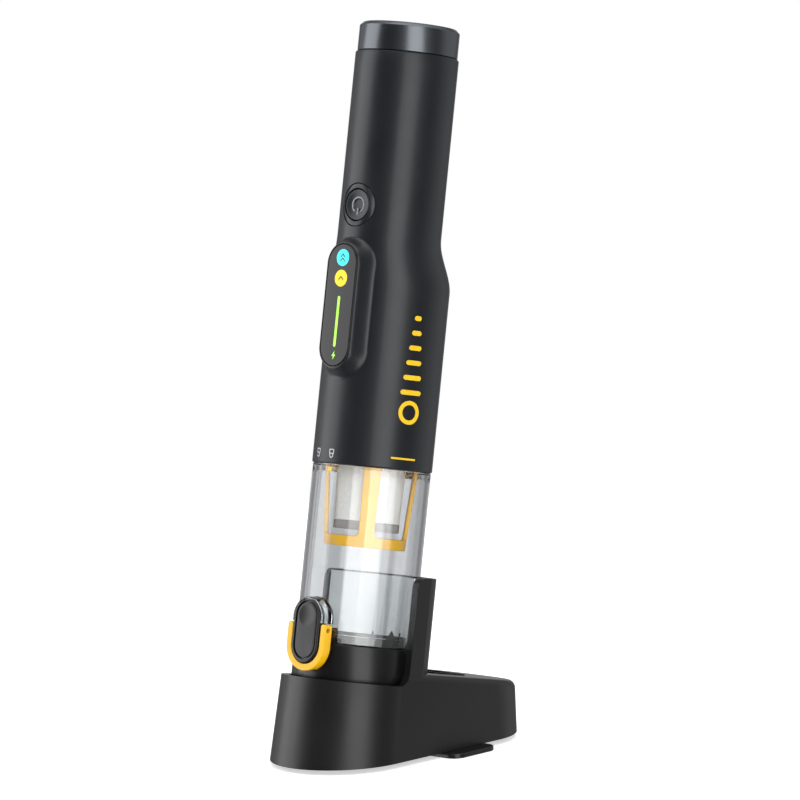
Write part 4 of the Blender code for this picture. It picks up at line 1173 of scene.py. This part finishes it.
# ------------------------------------------------------------------------------ the clear cup
@dataclass
class DustCup:
    """The clear cup with its latch boss and bayonet neck."""

    radius: float = 28.0
    wall: float = 3.2
    low: float = 53.3
    junction: float = 137.0
    neck_r: float = 25.0
    neck_bore: float = 23.4
    neck_top: float = 149.0
    boss_half: float = 9.8
    boss_centre: float = 64.1
    boss_low: float = 62.0
    boss_face: float = -33.4
    pocket_floor: float = -29.3
    pin_y: float = PIN_Y
    pin_z: float = PIN_Z
    notch_half: float = 12.4
    notch_top: float = 55.8
    dot: float = 1.15
    dot_height: float = 134.2

    def cup(self) -> Form:
        """Turn the cup, add the boss and lugs for the latch, and cut its pocket."""
        inner = self.radius - self.wall
        edge = self.junction - 0.3
        clear_of_boss = (76.0, 77.0, 79.0, 132.0)
        profile = [(self.neck_r, self.neck_top), (self.neck_r, edge), (self.radius, edge)]
        profile += [(self.radius, z) for z in reversed(clear_of_boss)]
        profile += [(self.radius, self.low), (inner, self.low)] + [(inner, z) for z in clear_of_boss]
        profile += [(inner, 133.5), (self.neck_bore, 137), (self.neck_bore, self.neck_top)]
        form = Form.turned(profile, SMOOTH_STEPS + 32).soften(0.4, 3)
        outline = [(-self.boss_half, self.boss_low), (self.boss_half, self.boss_low)]
        outline += arc((0, self.boss_centre), self.boss_half, 0, 180, 48)
        boss = Form.front(outline, -24.5, self.boss_face).soften(
            0.5, 3, 40.0, lambda p: p.y < self.boss_face + 0.1)
        boss.cut(Form.rod(self.radius - 1.0, 50, 140, SMOOTH_STEPS))
        form.join(boss)
        form.cut(Form.front(stadium(8.9, 37, 73.2), self.pocket_floor, -40))
        form.cut(Form.box((-self.notch_half, -40, 50), (self.notch_half, -15, self.notch_top)))
        for side in (-1, 1):
            lug = Form.box((-1.4, -32.9, 56.8), (1.4, -26.9, 61.0)).soften(0.5, 3, 40.0,
                                                                          lambda p: p.y < -30)
            form.join(lug.move(side * 5.6, 0, 0))
        form.cut(Form.rod(1.0, -12, 12, 32).turn(90, "Y").move(0, self.pin_y, self.pin_z))
        for azimuth in (60, 180, 300):
            lug = Form.box((-2.4, -0.7, 140), (2.4, 0.7, 143)).soften(0.3, 2)
            form.join(lug.move(0, -self.neck_r, 0).turn(azimuth, "Z"))
        return form

    def build(self) -> None:
        """Make the cup, its pin and the alignment dot."""
        make_piece(self.cup(), "clear_cup", CLEAR_PC, "dust_cup", ["dust_cup"])
        pin = Form.rod(0.8, -11.4, 11.4, 32).soften(0.15, 2).turn(90, "Y")
        make_piece(pin.move(0, self.pin_y, self.pin_z), "latch_pin_rod", STEEL, "dust_cup",
                   ["latch_pin"])
        # A thin black ring in the seam between cup and body: painted shade standing in for the dark line of
        # shade at the seam. It also keeps light from leaking through the cup's top edge.
        seam_shade_ring = Form.turned([(27.75, 136.97), (27.75, 136.73), (25.3, 136.73), (25.3, 136.97)])
        make_piece(seam_shade_ring, "cup_seam_shade_ring", SEAL_RUBBER, "dust_cup")
        outer = self.boss_half + 0.35
        line = Form.front(hoop(outer, outer - 0.75, 0.0, self.boss_centre - self.boss_low, 0.1)[::-1],
                          0.2, -0.12)
        line.turn(180, "Y").move(0, 0, self.boss_centre)
        line.slice_across(0.4).wrap(self.radius + PRINT_LIFT, 0.0)
        make_piece(line, "latch_arch_line", SEAL_RUBBER, "dust_cup")
        dot = Form.front(arc((0, self.dot_height), self.dot, 0, 360, 40), 0.0, -PRINT)
        dot.slice_across(0.5).wrap(self.radius + PRINT_LIFT, 0.0)
        make_piece(dot, "cup_mark_dot", YELLOW_INK, "dust_cup")


@dataclass
class Latch:
    """The rocker with its thumb dish, the yellow bail round it, and the return spring."""

    half: float = 8.4
    low: float = 42.8
    high: float = 72.7
    face: float = -34.0
    back: float = -30.9
    groove_half: float = 7.1
    plate_half: float = 6.2
    plate_low: float = 45.2
    plate_high: float = 71.2
    dish_r: float = 14.0
    dish_z: float = 65.0
    bail_outer: float = 12.2
    bail_inner: float = 9.2
    bail_centre: float = 51.4
    bail_top: float = 61.6
    bail_face: float = -33.2
    bail_back: float = -28.8
    pin_y: float = PIN_Y
    pin_z: float = PIN_Z

    def axle(self) -> Form:
        """Make the hole for the pin."""
        return Form.rod(1.15, -14, 14, 32).turn(90, "Y").move(0, self.pin_y, self.pin_z)

    def rocker(self) -> Form:
        """Press the rocker with a stepped rim and a groove; the thumb dish is on the face plate."""
        form = Form.front(stadium(self.half, self.low, self.high, 48), self.back, self.face)
        form.soften(0.7, 5, 40.0, lambda p: p.y < self.face + 0.1)
        grow = self.groove_half - self.plate_half
        form.cut(Form.front(stadium(self.groove_half, self.plate_low - grow, self.plate_high + grow, 48),
                            self.face + 1.1, self.face - 2))
        form.cut(Form.rod(3.0, 29.0, 32.3).turn(90, "X").move(0, 0, 66.5))
        for side in (-1, 1):
            low, high = sorted((side * 3.8, side * 7.6))
            form.cut(Form.box((low, -33.2, 56.2), (high, -29, 61.6)))
        return form.cut(self.axle())

    def plate(self) -> Form:
        """Press the face plate with its thumb dish, which stands in the rocker's groove."""
        form = Form.front(stadium(self.plate_half, self.plate_low, self.plate_high, 48),
                          self.face + 1.08, self.face + 0.1)
        form.soften(0.3, 5, 40.0, lambda p: p.y < self.face + 0.2)
        return form.cut(Form.ball(self.dish_r, (0, self.face + 0.1 + 0.95 - self.dish_r, self.dish_z), 160))

    def bail(self) -> Form:
        """Bend the U-shaped bail, round its edges, and drill it for the pin."""
        outline = hoop(self.bail_outer, self.bail_inner, self.bail_centre, self.bail_top, 1.3)
        form = Form.front(outline, self.bail_back, self.bail_face)
        form.cut(self.axle(), Form.box((-4.6, -30.4, 36), (4.6, -28, 47)))
        return form.soften(0.7, 4, 50.0, lambda p: math.hypot(p.y - self.pin_y, p.z - self.pin_z) > 1.5)

    def build(self) -> None:
        """Make the latch's pieces."""
        make_piece(self.rocker(), "latch_rocker", LATCH_ABS, "latch", ["latch_button"])
        make_piece(self.plate(), "latch_face_plate", LATCH_FACE, "latch", sharp=19.0)
        make_piece(self.bail(), "latch_yellow_bail", YELLOW_PC, "latch", ["latch_bail"])
        coil = Form.coil(2.2, 0.25, 3.0, 2.3 / 3.0).turn(90, "X").move(0, -29.6, 66.5)
        make_piece(coil, "latch_return_spring", STEEL, "latch", ["latch_spring"])


# ------------------------------------------------------------------------------ the filter
@dataclass
class Filter:
    """The yellow cage, the fleece drum inside it, and the seal on its flange."""

    wall: float = 1.8
    ring_r: float = 19.3
    low: float = 99.0
    ring_high: float = 104.0
    arm: float = 7.0
    window_top: float = 137.0
    slope: float = 0.0725
    corner: float = 2.2

    def cage(self) -> Form:
        """Cut four windows in a strip, bend it into a cone, and join the flange."""
        reach = math.pi * self.ring_r
        strip = Form.front([(-reach, self.low), (reach, self.low), (reach, 140.0), (-reach, 140.0)],
                           self.wall, 0.0)
        pitch = reach / 2
        for index in range(4):
            middle = -reach + pitch * (index + 0.5) + pitch / 2
            middle = middle - 2 * reach if middle > reach else middle
            window = rounded(pitch / 2 - self.arm / 2, self.ring_high, self.window_top, self.corner, 8)
            strip.cut(Form.front([(x + middle - pitch / 2, z) for x, z in window], 5.0, -5.0))
        strip.soften(0.5, 3, 60.0, lambda p: abs(abs(p.x) - reach) > 0.5)
        strip.slice_across(1.0).open_ends(reach)
        strip.wrap(self.ring_r, 0.0, slope=self.slope, slope_from=self.low)
        flange = Form.turned([(24.7, 151.3), (24.7, 149.4), (22.9, 149.4), (22.9, 138), (19.0, 138),
                              (19.0, 151.3)]).soften(0.3, 2)
        return strip.turn(45, "Z").join(flange)

    def build(self) -> None:
        """Make the filter's pieces."""
        make_piece(self.cage(), "filter_cage_moulding", CAGE_PC, "filter_cage",
                   ["filter_cage"])
        drum = Form.turned([(22.6, 153.2), (22.6, 151.6), (18.4, 151.6), (18.4, 141), (16.3, 139),
                            (15.4, 111.3), (12.5, 111.3), (12.5, 153.2)]).soften(0.3, 3)
        make_piece(drum, "filter_fleece_drum", FILTER_FLEECE, "filter_element",
                   ["filter_element"])
        end = Form.turned([(0, 111), (15.6, 111), (15.6, 107), (12.0, 107), (11.5, 108.2), (0, 108.2)])
        make_piece(end.soften(0.4, 3), "filter_end_disc", FILTER_END, "filter_element",
                   ["filter_end_cap"])
        seal = Form.turned([(25.4, 155.4), (25.4, 153.5), (20.5, 153.5), (20.5, 155.4)]).soften(0.5, 4)
        make_piece(seal, "cup_ring_seal", SEAL_RUBBER, "cup_seal", ["cup_seal"])


# ------------------------------------------------------------------------------ the body
@dataclass
class Body:
    """The slate body: wide part, handle, and the raised island that carries the display."""

    radius: float = WIDE_R
    handle_r: float = HANDLE_R
    handle_y: float = HANDLE_Y
    wall: float = 2.2
    low: float = 137.0
    step_low: float = 222.0
    step_high: float = 247.0
    seam: float = SEAM
    lens_half: float = 9.25
    lens_low: float = 182.4
    lens_high: float = 239.9
    island_face: float = -33.4
    lip: float = 0.45
    side_ramp: float = 4.0
    top_ramp: float = 4.0
    low_ramp: float = 6.0
    ramp_knee: float = 0.28
    button_z: float = 259.0
    hole_r: float = 10.4

    def step(self, z: float) -> float:
        """Return 0 on the wide part, 1 on the handle, and a soft step between."""
        t = min(1.0, max(0.0, (z - self.step_low) / (self.step_high - self.step_low)))
        return t * t * (3 - 2 * t)

    def section(self, z: float) -> tuple[float, float]:
        """Return the outer radius and the centre's Y at a height."""
        change = self.radius - self.handle_r
        return self.radius - change * self.step(z), self.handle_y * self.step(z)

    def ramp(self, x: float, z: float) -> float:
        """Return how far down the island's slope a point is: 0 on its face, 1 on the body."""
        top, bottom = self.lens_high - self.lens_half, self.lens_low + self.lens_half
        along = z - min(top, max(bottom, z))
        distance = math.hypot(x, along) - self.lens_half - self.lip
        if distance <= 0:
            return 0.0
        share = abs(along) / math.hypot(x, along)
        end = self.top_ramp if along > 0 else self.low_ramp
        width = self.side_ramp + (end - self.side_ramp) * share
        t = min(1.0, distance / width)
        knee = self.ramp_knee
        return t * t / knee if t < knee else 1 - (1 - t) ** 2 / (1 - knee)

    def raise_island(self, co: Vector) -> Vector:
        """Put a point of the spun wall on the handle's step and on the island."""
        _, centre = self.section(co.z)
        place = Vector((co.x, co.y + centre, co.z))
        outside = math.hypot(co.x, co.y) > self.section(co.z)[0] - self.wall / 2
        if outside and co.y < 0 and abs(co.x) < 18:
            slope = self.ramp(co.x, co.z)
            place.y = self.island_face + (place.y - self.island_face) * slope
        return place

    def shell(self) -> Form:
        """Spin the wall, raise the island, and cut the lens pocket, button hole and port."""
        fine = [171.0 + 0.4 * i for i in range(193)]
        outer = [self.low + 0.5, 141, 147, 153, 159, 165, 169] + fine
        outer += [249, 253, 257, 261, 265, 269, 273] + [277 + 7 * i for i in range(8)]
        outer += [self.seam - 0.8, self.seam - 0.35]
        profile = [(self.radius - 0.35, self.low)] + [(self.section(z)[0], z) for z in outer]
        profile[-1] = (self.handle_r - 0.15, self.seam - 0.35)
        profile.append((self.handle_r - 0.7, self.seam))
        inner = [self.seam, 300, 270, 247, 242, 237, 232, 227, 222, 190, 160, self.low]
        profile += [(self.section(z)[0] - self.wall, z) for z in inner]
        form = Form.turned(profile, 72, dense=(84.0, 168)).shift_each(self.raise_island)
        hole = Form.rod(self.hole_r, 18, 34, 96).turn(90, "X").move(0, 0, self.button_z)
        form.cut(hole)
        pocket = Form.box((-6.8, 12, 317.9), (6.8, 30, 327.7)).soften(0.8, 3, 40.0)
        pocket.cut(Form.rod(23.1, 300, 340, SMOOTH_STEPS).move(0, self.handle_y, 0))
        form.cut(pocket)
        form.cut(Form.box((-4.9, 12, 321.4), (4.9, 30, 325.6)).soften(1.2, 4))
        lens = stadium(self.lens_half + 0.3, self.lens_low - 0.3, self.lens_high + 0.3, 40)
        return form.cut(Form.front(lens, self.island_face + 2.0, -40))

    def lens(self) -> Form:
        """Make the display lens with a polished round edge."""
        outline = stadium(self.lens_half, self.lens_low, self.lens_high, 40)
        return Form.front(outline, self.island_face + 1.7, self.island_face - 0.1).soften(
            0.55, 5, 40.0, lambda p: p.y < self.island_face)

    def build(self) -> None:
        """Make the shell, the lens, the signs on it, and the prints on the shell."""
        make_piece(self.shell(), "body_shell", BODY_ABS, "main_body", ["main_shell"])
        make_piece(self.lens(), "display_lens_gloss", LENS_ACRYLIC, "main_body",
                   ["display_lens"])
        self.signs()
        self.prints()
        self.port()

    def sign(self, name: str, outline: Sequence[Point], finish: Finish, layer: int = 0) -> None:
        """Lay a thin lit sign on the lens, or on the sign below it."""
        low = self.island_face - 0.1 - PRINT * layer - PRINT_LIFT
        make_piece(Form.front(outline, low, low - 0.05), name, finish, "main_body")

    def signs(self) -> None:
        """Make the two round speed signs, the charge bar and the charging bolt."""
        fast, slow = 233.4, 223.7
        self.sign("sign_fast", arc((0, fast), 3.95, 0, 360, 64)[:-1], CYAN_LIGHT)
        self.sign("sign_slow", arc((0, slow), 3.95, 0, 360, 64)[:-1], AMBER_LIGHT)
        self.sign("sign_charge_bar", stadium(0.75, 191.4, 215.3, 16), GREEN_LIGHT)
        bolt = [(0.5, 2.1), (-1.25, -0.35), (-0.15, -0.35), (-0.5, -2.1), (1.25, 0.35), (0.15, 0.35)]
        self.sign("sign_bolt", [(x, z + 187.4) for x, z in bolt], GREEN_LIGHT)
        for name, middle, steps in (("fast", fast, (-1.0, 0.9)), ("slow", slow, (0.0,))):
            for index, rise in enumerate(steps, 1):
                chevron = [(-1.5, -0.75), (0, 0.75), (1.5, -0.75), (1.5, 0.05), (0, 1.55), (-1.5, 0.05)]
                points = [(x, z + middle + rise - 0.4) for x, z in chevron]
                self.sign(f"sign_{name}_chevron_{index}", points, SIGN_BLACK, layer=1)

    def print_on(self, name: str, form: Form, azimuth: float, finish: Finish) -> None:
        """Bend a flat print round the wide part of the body."""
        form.slice_across(0.8).wrap(self.radius + PRINT_LIFT, azimuth)
        make_piece(form, name, finish, "main_body")

    def padlock(self, icon: Icon) -> Form:
        """Draw a padlock, body up and shackle down, as a thin outline."""
        line, half = 0.42, 1.5
        block = Form.front(rounded(half, 0.0, 2.3, 0.5), 0.0, -PRINT)
        block.cut(Form.front(rounded(half - line, line, 2.3 - line, 0.25), 1.0, -1.0))
        shackle = hoop(1.15, 1.15 - line, -0.75, 0.1, 0.05, 20)
        form = Form.front(shackle, 0.0, -PRINT)
        if icon is Icon.UNLOCKED:
            form.cut(Form.box((-2.0, -1.0, -0.9), (-0.2, 1.0, 0.4)))
        return form.add(block) if icon is Icon.UNLOCKED else form.join(block)

    def prints(self) -> None:
        """Print the lock signs, the reference line and the air-flow mark."""
        seam_row = 141.4
        self.print_on("print_locked", self.padlock(Icon.LOCKED).move(0, 0, seam_row), 0.5, WHITE_INK)
        self.print_on("print_unlocked", self.padlock(Icon.UNLOCKED).move(0, 0, seam_row), -20.0,
                      WHITE_INK)
        line = Form.front([(z, x + 142.2) for x, z in stadium(0.45, -6.65, 6.65, 8)], 0.0, -PRINT)
        self.print_on("print_line", line, 74.0, YELLOW_INK)
        ring = Form.front(arc((0, 164.0), 5.6, 0, 360, 64)[:-1], 0.0, -PRINT)
        ring.cut(Form.front(arc((0, 164.0), 3.6, 0, 360, 64)[:-1], 1.0, -1.0))
        self.print_on("print_flow_ring", ring, 75.0, YELLOW_INK)
        for index in range(6):
            half, height = 5.6 - 0.75 * index, 173.4 + 7.0 * index
            slat = Form.front([(z, x + height) for x, z in stadium(1.15, -half, half, 8)], 0.0, -PRINT)
            self.print_on(f"print_flow_slat_{index + 1}", slat, 75.0, YELLOW_INK)

    def port(self) -> None:
        """Make the rubber cover over the charging port, with a finger lip."""
        outline = rounded(6.5, 319.4, 327.4, 1.4)
        cover = Form.front(outline, 0.8, 0.0).soften(0.3, 2, 60.0, lambda p: p.y < 0.4)
        cover.slice_across(0.8).wrap(self.handle_r - 0.1, 180.0, self.handle_y)
        lip = Form.box((-2.6, -0.9, 325.6), (2.6, 0.0, 326.6)).soften(0.3, 3)
        lip.move(0, 0.02, 0)
        cover.join(lip.slice_across(0.8).wrap(self.handle_r - 0.9, 180.0, self.handle_y))
        make_piece(cover, "charge_port_flap", SEAL_RUBBER, "port_cover", ["port_cover"])


@dataclass
class PowerButton:
    """The dished button with its power sign, and the ring that follows the handle."""

    height: float = 259.0
    ring_r: float = 10.1
    ring_bore: float = 7.8
    button_r: float = 7.4
    handle_r: float = HANDLE_R
    centre_y: float = HANDLE_Y

    def surface(self, x: float) -> float:
        """Return the handle's surface in front, at a distance from its middle line."""
        return self.centre_y - math.sqrt(self.handle_r ** 2 - x ** 2)

    def ring(self) -> Form:
        """Turn the ring and let its outer edge follow the round handle."""
        flat = 27.95
        rows = [self.ring_bore + 0.25 + (self.ring_r - 0.45 - self.ring_bore) * i / 6 for i in range(7)]
        profile = [(self.ring_r, flat - 0.2), (self.ring_r, 22.6), (self.ring_bore, 22.6),
                   (self.ring_bore, flat - 0.3)] + [(r, flat) for r in rows]
        form = Form.turned(profile, 96).turn(90, "X")
        for vert in form.bm.verts:
            if vert.co.y < -25.0:
                reach = math.hypot(vert.co.x, vert.co.z)
                share = max(0.0, (reach - self.ring_bore) / (self.ring_r - self.ring_bore))
                vert.co.y += (self.surface(vert.co.x) - self.surface(0)) * share
        return form.move(0, 0, self.height)

    def dish(self) -> Form:
        """Turn the button: a rolled rim, a dish, and a deeper cup inside the sign."""
        profile = [(0, 26.05), (2.6, 26.2), (3.15, 26.75), (4.0, 26.85), (5.6, 27.1), (6.7, 27.5),
                   (7.1, 27.5), (self.button_r, 27.2), (self.button_r, 25.7), (2.4, 25.7), (2.4, 22.2),
                   (0, 22.2)]
        return Form.turned(profile, 96).turn(90, "X").move(0, 0, self.height)

    def power_sign(self) -> Form:
        """Draw the power sign: an open ring and a bar, with its opening downwards."""
        outer, inner, gap = 3.95, 3.25, 32
        loop = arc((0, 0), outer, gap - 90, 270 - gap, 48) + arc((0, 0), inner, 270 - gap, gap - 90, 48)
        form = Form.front(loop, -26.7, -26.98)
        form.add(Form.front(stadium(0.35, -4.8, -1.5, 10), -26.6, -27.02))
        return form.soften(0.08, 2).move(0, 0, self.height)

    def build(self) -> None:
        """Make the ring, the button and its sign."""
        make_piece(self.ring(), "power_ring", RING_METAL, "main_body",
                   ["button_ring", "button_seat"])
        make_piece(self.dish(), "power_button_dish", BODY_ABS, "power_button",
                   ["power_button"])
        make_piece(self.power_sign(), "power_sign", GREY_INK, "power_button")


@dataclass
class EndCap:
    """The anodised cap with its exhaust slots, and the foam behind them."""

    radius: float = 23.8
    top: float = 346.5
    seam: float = SEAM
    spigot_r: float = 22.0
    spigot_low: float = 328.2
    skin: float = 2.2
    centre_y: float = HANDLE_Y
    slot_half: float = 1.0
    field_r: float = 16.0

    def cap(self) -> Form:
        """Turn the cap, chamfer its edge, and mill five slots in its top."""
        profile = [(0, self.top - 0.35), (19.6, self.top - 0.35), (20.0, self.top), (22.1, self.top),
                   (self.radius, self.top - 1.7), (self.radius, self.seam + 0.3),
                   (self.spigot_r, self.seam + 0.3), (self.spigot_r, self.spigot_low),
                   (self.spigot_r - 1.7, self.spigot_low), (self.spigot_r - 1.7, self.top - self.skin),
                   (0, self.top - self.skin)]
        form = Form.turned(profile, SMOOTH_STEPS).soften(0.25, 3, 25.0, lambda p: p.length > 5)
        for offset in (-10, -5, 0, 5, 10):
            half = math.sqrt(self.field_r ** 2 - offset ** 2)
            slot = [(x, y + offset) for y, x in stadium(self.slot_half, -half, half, 10)]
            form.cut(Form.extruded(slot, self.top - 4, self.top + 2))
        return form.move(0, self.centre_y, 0)

    def build(self) -> None:
        """Make the cap and the foam."""
        make_piece(self.cap(), "end_cap_turned", CAP_METAL, "main_body", ["end_cap"])
        foam = Form.rod(20.0, self.top - 6.0, self.top - 2.6, 96).soften(0.4, 2).move(0, self.centre_y, 0)
        make_piece(foam, "exhaust_foam", FOAM_BLACK, "main_body", ["exhaust_filter"])


# ------------------------------------------------------------------------------ the inside
@dataclass
class Inside:
    """The motor, battery and boards, which show when the cup and the filter come off."""

    axis_y: float = HANDLE_Y

    def rings(self) -> None:
        """Turn the simple rings of the motor with rounded edges."""
        rows = (("intake_plate", 25.7, 11.0, 155.8, 158.0, NYLON, "inner_plastic"),
                ("impeller_housing", 25.6, 20.2, 158.3, 169.8, NYLON, "inner_plastic"),
                ("motor_mount", 25.6, 15.6, 170.1, 173.5, SEAL_RUBBER, "black_rubber"),
                ("stator_ring", 13.1, 9.2, 176.0, 200.0, LAMINATED, "steel"),
                ("bearing_front", 4.4, 1.7, 170.5, 172.9, STEEL, "steel"),
                ("bearing_rear", 4.4, 1.7, 203.4, 205.8, STEEL, "steel"))
        for name, outer, inner, low, high, finish, slot in rows:
            form = Form.turned([(outer, high), (outer, low), (inner, low), (inner, high)], 96)
            make_piece(form.soften(0.3, 3), f"{name}_fine", finish, "main_body", [name])
        can = [(15.2, 206), (15.2, 170.4), (4.7, 170.4), (4.7, 172.4), (13.4, 172.4), (13.4, 204),
               (4.7, 204), (4.7, 206)]
        make_piece(Form.turned(can, 96).soften(0.5, 4), "motor_can_fine", STEEL, "main_body",
                   ["motor_can"])

    def intake_guard(self) -> None:
        """Close the eye of the intake plate with a spoked guard."""
        guard = Form.turned([(10.8, 157.6), (10.8, 156.4), (9.9, 156.4), (9.9, 157.6)], 96)
        guard.join(Form.turned([(3.4, 157.6), (3.4, 156.4), (2.6, 156.4), (2.6, 157.6)], 48))
        for index in range(6):
            guard.join(Form.box((-0.45, 3.0, 156.5), (0.45, 10.3, 157.5)).turn(60 * index, "Z"))
        make_piece(guard, "intake_guard", NYLON, "main_body")

    def rotor(self) -> None:
        """Make the impeller with straight slanted blades, the rotor's core and the shaft."""
        wheel = Form.turned([(18.6, 168.9), (18.6, 167.4), (4.5, 166.2), (4.5, 160.5), (1.75, 160.5),
                             (1.75, 168.9)], 96).soften(0.25, 2)
        for index in range(7):
            blade = Form.box((-0.5, -6.75, 161.4), (0.5, 6.75, 167.9)).soften(0.3, 2)
            wheel.join(blade.turn(18, "Z").move(0, -10.9, 0).turn(360 / 7 * index, "Z"))
        make_piece(wheel, "impeller_fine", NYLON, "rotor", ["impeller"])
        core = Form.turned([(8.6, 200), (8.6, 176), (1.75, 176), (1.75, 200)], 96).soften(0.4, 3)
        make_piece(core, "rotor_core_fine", LAMINATED, "rotor", ["rotor_core"])
        shaft = Form.rod(1.5, 158.6, 207).soften(0.3, 3)
        make_piece(shaft, "motor_shaft_fine", STEEL, "rotor", ["motor_shaft"])

    def battery(self) -> None:
        """Make the three cells with their crimped ends and contact buttons."""
        reach = 2 * (9.2 + 0.15) / math.sqrt(3)
        for index in range(3):
            angle = math.radians(60 + 120 * index)
            x, y = reach * math.sin(angle), -reach * math.cos(angle) + self.axis_y
            cell = Form.turned([(0, 315.0), (3.0, 315.0), (3.0, 314.2), (8.3, 314.2), (8.5, 314.6),
                                (9.2, 314.0), (9.2, 310.4), (8.9, 309.8), (9.2, 309.2), (9.2, 250.4),
                                (8.8, 250.0), (0, 250.0)], 96)
            make_piece(cell.move(x, y, 0), f"battery_cell_fine_{index + 1}", CELL_SLEEVE, "main_body",
                       [f"battery_cell_{index + 1}"])

    def carried(self, nodes: dict) -> None:
        """Give the CAD nodes that keep their own mesh a procedural material."""
        table = {NYLON: ("button_switch", "cell_holder_lower", "cell_holder_upper"),
                 BOARD: ("display_board", "main_board"),
                 STEEL: ("charge_port", "chassis_screw_1", "chassis_screw_2")}
        for finish, names in table.items():
            for name in names:
                nodes[name].data.materials.clear()
                nodes[name].data.materials.append(finish.material())
                log.info("%s keeps its mesh, in %s", name, finish.name)

    def build(self, nodes: dict) -> None:
        """Make and dress everything inside the body."""
        self.rings()
        self.intake_guard()
        self.rotor()
        self.battery()
        self.carried(nodes)


def main() -> None:
    """Load the frame, set the studio, and build each sub-assembly in order."""
    logging.basicConfig(level=logging.INFO, format="%(message)s")
    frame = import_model()
    Stand.from_frame(frame)
    studio = Studio()
    studio.build()
    Dock().build()
    NozzleCover().build()
    DustCup().build()
    Latch().build()
    Filter().build()
    Body().build()
    PowerButton().build()
    EndCap().build()
    Inside().build(frame["nodes"])
    studio.light_only(bpy.data.objects["cup_panel"], "clear_cup")


if __name__ == "__main__":
    main()
